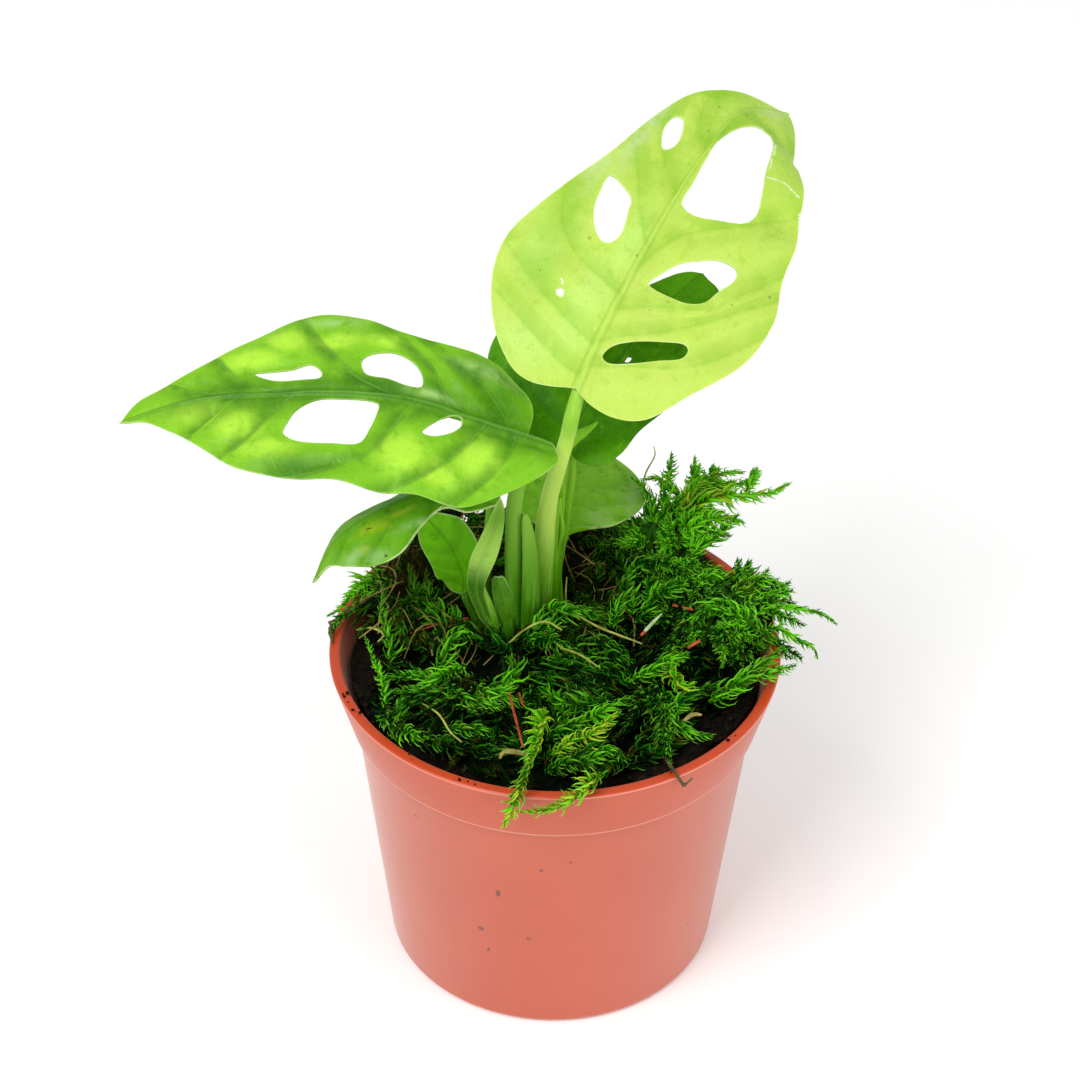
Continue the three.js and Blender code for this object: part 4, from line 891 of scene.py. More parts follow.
# ------------------------------------------------------------------ the leaves' shapes
LEAVES = {
    "leaf_upright": {
        "rib": [(2.3, 6, 85.8), (5, 9, 91.5), (9.3, 15, 97.7), (13.7, 22, 102.6), (18.4, 30, 106),
                (23.7, 39, 107.1), (30.5, 47, 102.5)],
        "face": [(-0.05, -0.75, 0.62), (0.25, -0.45, 0.85)],
        "fold": (6, 6), "curl": (-0.022, -0.01), "wave": (0.35, 10, 0.6),
        "left": [(-0.6, -1.6), (-1.6, -5.8), (-0.9, -8.7), (3.2, -12.9), (8.6, -16), (14.1, -16.5),
                 (21.9, -13.5), (29.8, -10.2), (37.3, -8.4), (42.8, -6.3), (48, -3.2), (53.5, -1.2)],
        "right": [(-0.9, 1.4), (-1.5, 5.6), (-0.1, 9.6), (5.7, 14), (12.5, 18), (19.1, 18.9), (25.6, 17.3),
                  (32.1, 16.4), (39.5, 13.6), (46.5, 10.6), (52.5, 8), (56, 4.2), (57.6, 1.6)],
        "holes": [
            [(26.6, -8.7), (26.6, -8), (26.1, -6.8), (24.9, -4.7), (23.5, -4.3), (20.8, -3.7), (19.4, -3.8),
             (18.4, -4.5), (18.2, -5.3), (19.3, -6.9), (21.5, -8.2), (23.8, -8.6)],
            [(38.9, -5.8), (39, -4.9), (37.2, -4), (34.5, -3.7), (33.3, -4.6), (34.9, -5.7), (37, -6.2)],
            [(27.8, 1.2), (27.2, 3), (28.4, 6.6), (29.8, 9.4), (32.2, 10.1), (35.5, 9.3), (39.1, 7.9),
             (42.8, 7.1), (46.9, 6), (48.8, 5.2), (49.1, 4.2), (47.7, 3.2), (44.8, 1.9), (41.7, 0.9),
             (39.1, 0.4), (35.4, 0.7), (31.4, 1)],
            [(16, 2.5), (17.8, 3.3), (20.2, 4.8), (21.9, 6.9), (23.3, 9.2), (23.3, 11.5), (21.8, 11.9),
             (19.2, 10.8), (17.1, 9.9), (15.9, 7.9), (15.7, 6), (15.7, 3.5)],
            [(5, 1.4), (6.7, 2), (8.5, 4.3), (10, 7.5), (11, 10.2), (10.6, 10.9), (9.3, 10.7), (7.6, 8.1),
             (5.7, 5), (4.6, 2.4)],
            [(10, -7.5), (10.4, -7), (10.2, -6.6), (9.6, -6.5), (9.5, -7.1)],
        ],
        "veins": {
            1: [[(3.1, 0), (5.5, 5.2), (7.9, 10.6), (10.7, 14), (14.3, 16.7)],
                [(6.5, 0), (8.4, 2.3), (10.1, 5.3), (12.9, 9), (16.5, 12.6), (19.2, 15.2)],
                [(11.1, 0), (13.3, 3.7), (15, 7.7), (16.6, 11), (19.9, 13.4), (23.5, 15.6)],
                [(16.5, 0), (21.9, 2), (24.7, 3.9), (27, 6.5), (29.4, 9.5), (32.6, 12.1)],
                [(40, 0), (46.5, 2), (50, 4.5), (52, 6.5)]],
            -1: [[(1.6, 0), (2.4, -3.2), (4.4, -7.8), (6.4, -12.8)],
                 [(6, 0), (7.5, -4.8), (9.3, -9.5), (11.7, -14.4)],
                 [(13.2, 0), (14.2, -3.8), (14.9, -6.5), (16.6, -9.4), (19, -11.5), (21.6, -12.6)],
                 [(20.5, 0), (24.5, -3.2), (28.5, -5.6), (32, -8)],
                 [(28.7, 0), (31.5, -3.2), (36, -6.2), (40, -7)],
                 [(36.3, 0), (38.5, -2), (41.8, -3.9), (45, -4.5)]],
        },
        "quilt": 0.42, "ridge": 0.6,
        "blotch": [(9, -3.4, 9, 3), (20, -2, 6, 1.6), (3, -8, 4, 4.5), (14, -11.5, 5, 2.5)],
        "painted_sheen": [(36, -8.3, 8, 1.3), (27, -10.6, 3.5, 1.2), (54.2, 0.4, 3.2, 0.7)],
        "painted_shade": [(20, -11.5, 7, 3), (11.5, -10.5, 4, 3)],
        "dents": [(35, -9, 9, 2.4, -1.1), (20, -12, 6, 2, -0.4), (12, 8, 5, 3, 0.5),
                  (30, 13.5, 5, 2.2, -0.6)],
        "stalk": [*foot(-1.6, 11), (-1.6, 10.8, 47.4, 1.25), (-1.6, 10.4, 53.2, 1.35),
                  (-1.5, 9.8, 58.5, 1.45), (-1.3, 9, 63.1, 1.3), (-0.8, 8.2, 67.6, 1.15),
                  (0.2, 7.4, 72.5, 1.05), (1.2, 6.8, 77.4, 1), (1.9, 6.2, 82, 1)],
        "rib_r": 0.85, "sink": 0.5, "rows": 120, "cols": 38,
    },
    "leaf_left": {
        "rib": [(-4, 5, 78.8), (-10.6, 5.5, 80.9), (-18.3, 6, 83.5), (-27.2, 6.5, 84.3), (-36.9, 7, 83.5),
                (-46.6, 7.5, 82.1), (-56.6, 8, 78)],
        "face": [(0.1, -0.3, 0.95), (-0.25, -0.25, 0.95)],
        "fold": (4, 8), "curl": (-0.028, -0.022), "wave": (0.4, 12, 2.2),
        "left": [(-1, 0.2), (-3.5, -0.2), (-4.6, -2), (-2.7, -5.5), (1.7, -9.9), (6.5, -12.9),
                 (12.5, -13.4), (19.2, -13.9), (25.7, -12.9), (33.1, -12.4), (37.5, -11), (41.8, -8.2),
                 (47, -4.2), (51, -1.1)],
        "right": [(-0.2, 1.5), (0.2, 4.5), (4, 8.7), (8.5, 9.9), (18.1, 10.4), (22.8, 12.4), (26.8, 13.3),
                  (30.8, 12), (37.7, 8.5), (42.5, 5.4), (47.8, 3.3), (51.8, 2.3)],
        "holes": [
            [(36.1, 3.3), (34.3, 3.4), (31.1, 3.6), (28.7, 4.3), (27.3, 3.1), (27.3, 2.3), (29.8, 2),
             (33.5, 2.1)],
            [(22.4, 4.9), (21.7, 5.9), (18.8, 6.7), (16.3, 5.8), (14.8, 3.9), (14.7, 2.2), (16.4, 2),
             (18.9, 2.6), (21.7, 3)],
            [(31.7, -6.2), (31.4, -5.3), (30.1, -2.8), (27.7, -1.3), (24, -1), (20.9, -1), (19.6, -1.5),
             (19.7, -3.2), (20.3, -5.5), (21.4, -7.8), (25.3, -8), (30.4, -7.3)],
            [(13.3, -4.6), (11.9, -2.4), (10.2, -0.7), (8.8, -0.5), (8.5, -1.3), (9.4, -3), (11.4, -4.5),
             (12.7, -4.8)],
        ],
        "veins": {
            -1: [[(1.5, 0), (1.8, -3.4), (3.4, -7.4), (6, -11.4)],
                 [(5.5, 0), (7.1, -3.6), (9.5, -7.8), (12.2, -11), (15.5, -13)],
                 [(15, 0), (17.5, -4.8), (19.6, -8.6), (23.7, -11), (29.1, -12.2)],
                 [(30.5, 0), (33.6, -3.3), (36.6, -7), (39.2, -9.1)],
                 [(37.7, 0), (40.3, -2.5), (43.5, -5.4)]],
            1: [[(2.5, 0), (4.2, 2.6), (7.8, 5.3), (12, 8.2)],
                [(7.7, 0), (11.7, 2.5), (14.2, 5.9), (17.5, 9)],
                [(17, 0), (22.4, 2.2), (24.8, 4.6), (27, 7.5), (29.5, 11)],
                [(30.6, 0), (36.6, 1.4), (39, 3.6), (41, 6)],
                [(40, 0), (43.5, 1.6), (46.5, 3.2)]],
        },
        "quilt": 0.75, "ridge": 0.6,
        "painted_sheen": [(5.5, 7.2, 3, 1.3), (9.5, 7.6, 2.6, 0.8), (13.5, 1.6, 3, 0.7), (26, 11.6, 3.5, 0.8)],
        "painted_shade": [(4.4, 4, 3.6, 3.4), (8.6, 6, 2.8, 2.6), (19.7, 1.6, 4, 1.5), (30, -11, 5, 1.8)],
        "dents": [(7, 5.5, 5, 2.5, 0.9), (3, 8, 3, 2, -0.8), (12, -10.5, 5, 2.2, 0.5), (25, 10, 3, 2, -0.5)],
        "blotch": [(15.5, -8.4, 3.8, 3.2), (5.4, -5.8, 3, 4), (10, -9.6, 3, 2.2), (37.6, -4.8, 3.6, 2.6),
                   (43.2, -2.4, 3.4, 2), (36.4, 5.4, 4.2, 1.7), (25.8, 8.4, 3, 1.5),
                   (19.8, 8.4, 2.6, 1.1), (32, 8, 3, 2), (34, -8.6, 4, 1.6)],
        "stalk": [*foot(-5.5, 8), (-5.5, 7.8, 46.3, 1.2), (-5.6, 7.5, 51.7, 1.2), (-5.7, 7.1, 57.1, 1.15),
                  (-5.7, 6.6, 62.5, 1.1), (-5.5, 6.1, 67.9, 1.05), (-4.6, 5.5, 73, 1), (-4, 5.1, 76.4, 0.95)],
        "rib_r": 0.62, "rows": 116, "cols": 34,
    },
    "leaf_back": {
        "rib": [(1.4, 13, 71.3), (4, 17, 74.7), (7.8, 21, 79), (12.8, 26, 83.4), (19.2, 31.4, 86.9)],
        "face": [(-0.1, -0.55, 0.8), (0.2, -0.3, 0.9)],
        "fold": (8, 8), "curl": (-0.02, -0.03), "wave": (0.25, 9, 1),
        "left": [(-1.5, -2), (-2, -4.6), (-0.7, -8.6), (2.8, -12.6), (6.6, -16), (12.2, -15.2), (16.5, -11),
                 (20, -6.6), (23.6, -3.9), (26, -3), (28, -2.2), (29.4, -1.2)],
        "right": [(-1.1, 2.1), (-0.2, 5.3), (2.2, 6.8), (6.7, 7.5), (12, 8.9), (16.9, 9.4), (22, 8.9),
                  (26.6, 7.2), (28.8, 5.2), (30, 3), (30.1, 1.2)],
        "holes": [[(13.9, 0.1), (14.5, 0.2), (14.8, 1), (14.1, 1)]],
        "vein_count": 5, "quilt": 0.4,
        "stalk": [*foot(0.4, 13.7), (0.3, 13.1, 49.8, 0.6), (0.7, 12.8, 54.4, 0.55), (1.2, 12.6, 58, 0.5),
                  (1.6, 12.7, 63, 0.5), (2, 12.9, 67.4, 0.5)],
        "rib_r": 0.55, "rows": 70, "cols": 26,
    },
    "leaf_right": {
        "rib": [(1.2, 15, 55.1), (1.9, 20.5, 55.9), (2.7, 27.5, 56.3), (3.5, 34.5, 56.7)],
        "face": [(0.1, -0.2, 0.97), (0.2, -0.05, 0.97)],
        "fold": (14, 10), "curl": (-0.02, -0.035),
        "left": [(0.3, -1), (0.9, -5.4), (4.7, -7.9), (7.8, -7.8), (11.2, -6.5), (16, -3.4)],
        "right": [(1.4, 0.5), (2.1, 3.6), (3.4, 6.4), (8.3, 9.7), (11.8, 10), (15, 8.3), (17.9, 4.4)],
        "vein_count": 4, "quilt": 0.2, "ridge": 0.3, "painted_sheen": [(10.5, 8.4, 4.5, 1.8), (4, 4.5, 2, 2)],
        "stalk": [*foot(-0.9, 16.6), (-0.7, 16.2, 46.8, 0.75), (-0.2, 15.9, 49, 0.65), (0.4, 15.4, 52.2, 0.6),
                  (0.9, 15.1, 54.2, 0.6)],
        "rib_r": 0.5, "rows": 52, "cols": 22,
    },
    "leaf_low": {
        "rib": [(-7.4, 3.5, 69.9), (-12.6, 3, 71.5), (-18.1, 2, 71), (-23.9, 0.5, 68.9), (-28.4, -1, 66.2),
                (-31.6, -2, 60)],
        "face": [(0.1, -0.25, 0.95), (-0.6, -0.3, 0.7)],
        "fold": (10, (-10, -32, -20)), "curl": (-0.05, -0.05),
        "left": [(0.6, -1.2), (4.6, -3.6), (8.1, -2.8), (11.4, -4.6), (15.9, -7.4), (20.6, -7.1),
                 (23.6, -4.6), (26, -1.8)],
        "right": [(0.5, 1.6), (3.8, 3.5), (7.6, 4.4), (12, 5.2), (17, 5.4), (21, 4.4), (25, 2.6)],
        "vein_count": 4, "quilt": 0.3,
        "blotch": [(18.3, -1.9, 1.8, 1), (13.8, -1.5, 2.4, 0.6), (20.2, -4.6, 1, 0.7),
                   (16.3, -2.6, 1.4, 0.7)],
        "painted_sheen": [(19, -6.4, 2, 0.9), (22, -4.6, 2, 1), (12, -4.2, 3, 0.6)],
        "painted_shade": [(14, 2, 4, 2.6)],
        "stalk": [*foot(-8.4, 5.6), (-8.5, 5.9, 46.4, 1.1), (-9.2, 6.2, 49.5, 1.05), (-10, 6.3, 52.5, 0.75),
                  (-10.2, 6.2, 55.5, 0.3)],
        "neck": [(-8, 4.9, 64.6, 0.25), (-7.7, 4.3, 68.2, 0.45)],
        "rib_r": 0.5, "rows": 64, "cols": 20,
    },
    "leaf_tiny": {
        "rib": [(-12.3, 8, 50.6), (-12.3, 8.4, 53.4), (-13.7, 9.6, 56.7), (-15.9, 11.4, 58.8),
                (-18, 12.8, 60.6)],
        "face": [(-0.3, -0.75, 0.6), (-0.3, -0.6, 0.75)],
        "fold": (10, 16), "curl": (-0.03, -0.03),
        "left": [(0, -1.4), (2, -3.4), (6.5, -3.6), (10, -3.1), (12.2, -1.8)],
        "right": [(0.6, 0.5), (2.2, 1.6), (4.7, 3.2), (7.3, 3.7), (9.5, 3.4), (11.8, 1.6)],
        "vein_count": 4, "quilt": 0.25,
        "stalk": [*foot(-10.2, 8.6), (-10.5, 8.3, 45.2, 0.6), (-11.4, 8.2, 47.8, 0.55),
                  (-12.2, 8, 50.2, 0.5)],
        "rib_r": 0.45, "rows": 44, "cols": 14,
    },
}

# The young leaf's winged stalk: a twisted ribbon that carries leaf_low.
RIBBON = {
    "rib": [(-9, 5.2, 47.6), (-10, 5.4, 50.6), (-10.6, 5.3, 53.6), (-10.1, 5, 57.4), (-8.9, 4.6, 61.6),
            (-7.9, 4, 66), (-7.6, 3.6, 69.4), (-8.6, 3.5, 71.6)],
    "face": [(-0.35, -0.8, 0.5), (0.45, -0.75, 0.5)],
    "fold": (14, 14), "curl": (-0.1, -0.1),
    "left": [(0.6, -0.6), (4, -0.9), (8, -1.3), (12, -1.6), (17, -1.3), (21, -0.8)],
    "right": [(0.6, 0.6), (4, 0.9), (8, 1.3), (12, 1.65), (17, 1.3), (21, 0.8)],
    "vein_count": 1, "quilt": 0, "ridge": 0.25, "rows": 44, "cols": 8,
    "painted_shade": [(20, 0, 3.6, 4)],
}
# The scale leaf that sheathed the youngest stalk.
SCALE_LEAF = {
    "stalk": [*foot(-6.4, 6.4), (-6.2, 6.8, 46.6, 0.95), (-6.5, 7, 49, 0.5)],
    "rib": [(-6.2, 6.4, 45.6), (-6.6, 6.3, 49), (-7.2, 6.3, 52), (-7.7, 6.4, 54.8)],
    "face": [(0, -1, 0.2), (-0.2, -1, 0.3)],
    "fold": (-14, -14), "curl": (-0.16, -0.16),
    "left": [(0.4, -1.1), (4, -1.45), (7.4, -1.25), (9.2, -0.7)],
    "right": [(0.4, 1.2), (4, 1.5), (7.2, 1.2), (9.2, 0.7)],
    "vein_count": 1, "quilt": 0, "ridge": 0.2, "rows": 34, "cols": 8,
}
# The sheaths of the two large stalks: flattened straps that merge with the stalks' right sides.
LEFT_SHEATH = [(-3.3, 6.9, 43, 1.35), (-3.3, 6.6, 48, 1.35), (-3.3, 6.3, 52, 1.3), (-3.4, 6, 57.8, 1.12),
               (-3.7, 5.6, 62.3, 0.88), (-4, 5.3, 65, 0.6), (-4.15, 5.2, 66.2, 0.3)]
UPRIGHT_SHEATH = [(-0.3, 11.4, 44, 0.9), (-0.3, 11, 49, 0.95), (-0.2, 10.5, 54, 0.9), (0, 9.8, 59, 0.75),
                  (0.3, 9, 63.4, 0.5), (0.5, 8.5, 66.4, 0.15)]
SHEATH_FLAP = [(0.2, 9.9, 56.5, 0.12), (0.75, 9.3, 59.4, 0.3), (0.85, 8.9, 61.6, 0.32), (0.55, 8.6, 64, 0.1)]
SPEAR = [*foot(1.1, 11.2), (0.8, 11.5, 47, 0.4), (0.5, 11.5, 51, 0.38), (0.35, 11.2, 57, 0.38),
         (0.7, 10.6, 63, 0.4), (0.6, 10.6, 68.2, 0.5), (0.5, 10.4, 72.4, 0.85), (1.9, 10.3, 74.7, 0.9),
         (3.5, 10.2, 76, 0.6), (5.2, 10.4, 77.4, 0.12)]
OLD_STALK = [*foot(-8.4, 10.2), (-9.2, 9.4, 50.1, 0.5), (-9.3, 9, 55.6, 0.48), (-9.2, 8.6, 60.1, 0.45),
             (-8.9, 8, 64.4, 0.42), (-8.6, 7.6, 67.2, 0.3)]

# ------------------------------------------------------------------ the leaves' colours
WHITE_SCAR = (232, 246, 206)
BROWN_SPOT = (94, 60, 16)
# In each look, the sheen tone is painted highlight; the shares that darken the veins' bands and lines, the
# midrib's grooves and sides and the soft dark marks are painted shade.
PLAIN_LOOK = {"tip_from": 0.35, "core": 0.0, "shade_mm": 2, "painted_shade_share": 0.55, "grain": 0.2, "specks": 0.0,
              "specular": 0.14, "marks": []}
PALE = {
    **PLAIN_LOOK, "base": (184, 209, 91), "tip": (135, 189, 37), "cloud": (183, 213, 86),
    "bright": (198, 226, 106), "blotch": (184, 228, 120), "deep": (132, 184, 40), "vein": (194, 226, 112),
    "rim": (220, 240, 164), "under": (178, 206, 108), "rib": (176, 214, 92), "sheen_tone": (190, 214, 150),
    "tip_from": 0.2, "blotch_share": 0.45, "between": 0.45, "mottle": 0.3, "vein_shade": 0.48, "shade_mm": 3.2,
    "crease_shade": 0.2, "vein_share": 0.0, "rib_share": 0.4, "rib_mm": 0.42, "rib_groove_shade": 0.35, "rim_share": 0.7,
    "specks": 0.35, "gloss": 0.42,
    "marks": [((38.4, 8.4), (38.9, 10.6), 0.13, WHITE_SCAR), ((38.9, 10.6), (38.4, 13.4), 0.16, WHITE_SCAR),
              ((47, 6.3), (43.4, 7.3), 0.2, WHITE_SCAR), ((42, 7.5), (39.8, 8.1), 0.14, WHITE_SCAR),
              ((36.4, 14.7), (35.4, 15.4), 0.2, WHITE_SCAR), ((11.4, -7.6), (11.1, -7.2), 0.16, WHITE_SCAR),
              ((46.9, 0.4), (47.2, 0.7), 0.2, BROWN_SPOT)],
}
# The mottled leaf's greyish rib and vein tones are its veins' paler green with painted sheen mixed in.
MOTTLED = {
    **PLAIN_LOOK, "base": (116, 181, 24), "tip": (136, 199, 30), "cloud": (124, 190, 26),
    "bright": (140, 204, 38), "blotch": (176, 228, 62), "deep": (48, 110, 2), "vein": (128, 178, 72),
    "rim": (190, 222, 128), "under": (128, 176, 70), "rib": (100, 152, 58), "sheen_tone": (168, 206, 122),
    "blotch_share": 0.95, "between": 0.45, "mottle": 0.18, "core": 0.72, "vein_shade": 0.62, "shade_mm": 2.4,
    "painted_shade_share": 0.7, "crease_shade": 0.2, "vein_share": 0.35, "grain": 0.08, "rib_share": 0.4, "rib_mm": 0.3,
    "rib_groove_shade": 0.5, "rim_share": 0.5, "specks": 0.15, "gloss": 0.36, "specular": 0.2,
}
DARK = {
    **PLAIN_LOOK, "base": (62, 126, 2), "tip": (80, 148, 10), "cloud": (78, 146, 6),
    "bright": (104, 172, 24), "blotch": (110, 176, 50), "deep": (42, 98, 0), "vein": (104, 158, 40),
    "rim": (140, 188, 78), "under": (104, 152, 60), "rib": (96, 152, 34), "blotch_share": 0.4,
    "between": 0.5, "mottle": 0.6, "vein_shade": 0.4, "crease_shade": 0.2, "vein_share": 0.1, "rib_share": 0.15,
    "rib_mm": 0.25, "rib_groove_shade": 0.3, "rim_share": 0.2, "gloss": 0.38, "specular": 0.08,
}
GREYED = {
    **PLAIN_LOOK, "base": (120, 186, 24), "tip": (134, 192, 50), "cloud": (134, 194, 42),
    "bright": (152, 208, 68), "blotch": (150, 190, 110), "deep": (84, 148, 8), "vein": (138, 182, 80),
    "rim": (190, 214, 130), "under": (126, 170, 70), "rib": (146, 196, 70), "sheen_tone": (150, 184, 112),
    "blotch_share": 0.3, "between": 0.3, "mottle": 0.8, "vein_shade": 0.3, "crease_shade": 0.1, "vein_share": 0.0,
    "rib_share": 0.2, "rib_mm": 0.3, "rib_groove_shade": 0.3, "rim_share": 0.85, "specks": 0.9, "gloss": 0.46,
    "specular": 0.1,
}
YOUNG = {
    **PLAIN_LOOK, "base": (96, 162, 16), "tip": (120, 172, 50), "cloud": (104, 168, 24),
    "bright": (124, 182, 34), "blotch": (176, 190, 40), "deep": (62, 126, 4), "vein": (124, 174, 60),
    "rim": (206, 226, 160), "under": (104, 150, 62), "rib": (74, 128, 20), "sheen_tone": (150, 190, 120),
    "blotch_share": 0.55, "between": 0.4, "mottle": 0.45, "vein_shade": 0.4, "painted_shade_share": 0.9, "crease_shade": 0.3,
    "vein_share": 0.1, "rib_share": 0.6, "rib_mm": 0.25, "rib_groove_shade": 0.3, "rim_share": 0.75, "specks": 0.7,
    "gloss": 0.46, "specular": 0.06,
    "marks": [((18.1, -2), (18.5, -1.8), 0.22, BROWN_SPOT), ((15.2, -0.4), (15.5, -0.3), 0.2, BROWN_SPOT),
              ((13, -0.9), (13.3, -0.9), 0.12, BROWN_SPOT)],
}
TINY = {
    **YOUNG, "base": (114, 202, 12), "cloud": (122, 208, 22), "deep": (82, 152, 6), "rib": (58, 122, 4),
    "vein_shade": 0.3, "crease_shade": 0.12, "rib_share": 0.5, "rib_mm": 0.3, "rib_groove_shade": 0.15, "rim_share": 0.5,
    "specks": 0.0,
    "marks": [],
}
WINGED = {
    **PLAIN_LOOK, "base": (168, 216, 92), "tip": (176, 224, 92), "cloud": (180, 226, 104),
    "bright": (176, 222, 104), "blotch": (166, 210, 112), "deep": (112, 168, 44), "vein": (170, 208, 110),
    "rim": (206, 232, 150), "under": (140, 184, 84), "rib": (150, 202, 84), "root": (62, 122, 12),
    "blotch_share": 0.2, "between": 0.3, "mottle": 0.4, "vein_shade": 0.0, "painted_shade_share": 0.95, "crease_shade": 0.0,
    "vein_share": 0.0, "rib_share": 0.2, "rib_mm": 0.4, "rib_groove_shade": 0.15, "rim_share": 0.25, "gloss": 0.42,
}
SCALE = {
    **WINGED, "base": (92, 158, 24), "tip": (74, 124, 38), "cloud": (98, 160, 36), "bright": (110, 170, 44),
    "deep": (60, 116, 14), "rim": (186, 212, 146), "rib": (88, 150, 30), "root": (92, 158, 24),
    "rim_share": 0.6,
}
# Each stalk's low, high and streak tones, and the height in mm at which it is palest.
STALK_TONES = {
    "upright": ((104, 180, 12), (196, 234, 100), (206, 240, 124), 65),
    "left": ((66, 138, 0), (138, 192, 66), (150, 204, 90), 68),
    "thin": ((76, 148, 4), (130, 188, 40), (154, 204, 78), 66),
    "winged": ((96, 168, 12), (170, 220, 84), (180, 224, 104), 54),
}
# Each leaf's look, slot and stalk.
LOOKS = {
    "leaf_upright": (PALE, "leaf_pale", "upright"), "leaf_left": (MOTTLED, "leaf_bright", "left"),
    "leaf_back": (DARK, "leaf_dark", "thin"), "leaf_right": (GREYED, "leaf_grey", "thin"),
    "leaf_low": (YOUNG, "leaf_young", "winged"), "leaf_tiny": (TINY, "leaf_young", "thin"),
}


def build_leaves():
    stalks = {name: stalk_finish(name + "_stalk_green", *tones) for name, tones in STALK_TONES.items()}
    thin = stalks["thin"]
    for name, blade in LEAVES.items():
        look, slot, stalk = LOOKS[name]
        bm, surface = blade_mesh(blade)
        route = rib_route(surface, blade.get("neck", blade["stalk"]), blade["rib_r"], blade.get("sink", 0.8))
        join(bm, tube_piece([route], groove=0.2 if blade["rib_r"] > 0.6 else 0.1), 2)
        materials = [leaf_finish(name + "_top", look), leaf_back_finish(name + "_under", look), stalks[stalk]]
        if name == "leaf_low":
            materials += [leaf_finish("wing_skin", WINGED), leaf_back_finish("wing_under", WINGED)]
            join(bm, blade_mesh(RIBBON)[0], 3)
            join(bm, tube_piece([blade["stalk"]]), 2)
        if name == "leaf_left":
            join(bm, tube_piece([LEFT_SHEATH], front=(0.35, -1, 0), flat=0.6, groove=0.15), 2)
        if name == "leaf_upright":
            join(bm, tube_piece([UPRIGHT_SHEATH, SHEATH_FLAP], front=(0.5, -1, 0), flat=0.65), 3)
            materials.append(thin)
        finish_piece(name + "_blade", bm, materials, [name])
    finish_piece("rolled_new_leaf", tube_piece([SPEAR], sides=12), [thin], ["new_leaf"])
    finish_piece("bare_old_stalk", tube_piece([OLD_STALK], sides=12), [thin], ["old_stalk"])
    bm = blade_mesh(SCALE_LEAF)[0]
    join(bm, tube_piece([SCALE_LEAF["stalk"]]), 2)
    materials = [leaf_finish("scale_leaf_skin", SCALE), leaf_back_finish("scale_leaf_back", SCALE),
                 stalks["left"]]
    finish_piece("scale_leaf", bm, materials, ["cataphyll"])


# ------------------------------------------------------------------ moss
MOSS_EDGE_R = 27.9  # the underlayer ends here, just inside the wall
OVER_WALL_R = 27.8  # and a tussock that reaches past here lies on the wall
BACK_GAP = 42  # the direction in which the carpet stops short at the back
# The carpet's humps and hollows: height, centre and half widths.
MOSS_HUMPS = [(5, 19, 11, 8, 9), (1.9, -2, -15, 15, 9), (-4.5, 24, 20, 5, 5), (1.5, -14, -6, 6, 7)]
# The two tussocks: centre, radii and number of shoots.
TUSSOCKS = [((22, 6, 48), (8.2, 8.4, 5.6), 60), ((15.5, 19, 49.2), (5.5, 5.6, 5.6), 56)]
OLD_X, OLD_Y = -9, 15  # the middle of the old moss
OLD_COUNT = 230
REGIONS = ("moss_front", "moss_left", "moss_right", "moss_back", "moss_sprays")
# The carpet's two layers: shoots wanted, heights over the moss, lightness and size; the low layer is painted
# darker, as painted shade deep in the carpet.
LAYERS = [(130, (-1.4, 0.0), (-0.1, 0.2), (0.85, 1.05)), (78, (0.3, 2.6), (0.12, 0.8), (1.0, 1.2))]
STALK_ROOM, WALL_ROOM = 2.4, 1.2
STALK_FEET = [(-1.6, 11), (-5.5, 8), (0.4, 13.7), (-0.9, 16.6), (-9.2, 5.9), (-10.2, 8.6), (1.1, 11.2),
              (-8.4, 10.2), (-6.6, 4.6), (-4, 7)]


def moss_top(x, y):
    top = 45.4
    for rise, *spot in MOSS_HUMPS:
        top += rise * hump(x, y, *spot)
    return top + 0.5 * math.sin(0.9 * x) * math.cos(0.8 * y + 1)


def old_moss_top(x, y):
    """The old moss heaps up against the back of the rim."""
    heap = 6 * smooth_step(math.hypot(x, y), 17, 25) * smooth_step(y, -3, 15)
    return 45.8 + heap + 0.5 * math.sin(1.1 * x + y)


def moss_reach(turn):
    """How far the carpet reaches from the pot's axis; it leaves bare soil at the left and right front."""
    reach = 27.4
    for centre, depth, width in ((BARE_LEFT, 7, 20), (BARE_RIGHT, 7, 15), (BACK_GAP, 5, 9)):
        reach -= depth * math.exp(-((turn_between(turn, centre) / width) ** 2))
    return reach


def old_reach(turn):
    return 19 - 6.5 * abs(math.sin(math.radians(turn))) ** 1.2


def moss_bed(centre, reach, height, rings, sectors, roughness, seed):
    """The carpet's packed underlayer: a spun disc raised to the carpet's height."""
    bm = bmesh.new()
    profile = [(0, 0), (1, 0), *[(1 - k / rings, 1) for k in range(rings)], (0, 1)]
    spin_profile(bm, profile, sectors)
    bmesh.ops.remove_doubles(bm, verts=bm.verts, dist=1e-4)
    for vert in bm.verts:
        turn = math.degrees(math.atan2(vert.co.y, vert.co.x)) % 360
        part = math.hypot(vert.co.x, vert.co.y)
        x = centre[0] + vert.co.x * reach(turn)
        y = centre[1] + vert.co.y * reach(turn)
        pull = min(1, MOSS_EDGE_R / max(math.hypot(x, y), 1))
        x, y = x * pull, y * pull
        rough = noise.noise(Vector((x, y, seed)) * 0.5) + 0.6 * noise.noise(Vector((x, y, seed + 4)) * 1.4)
        top = height(x, y) - 0.9 + roughness * rough - 1.2 * part ** 6
        vert.co = (x, y, top if vert.co.z > 0.5 else SOIL_TOP - 1.2)
    point_outwards(bm)
    return bm


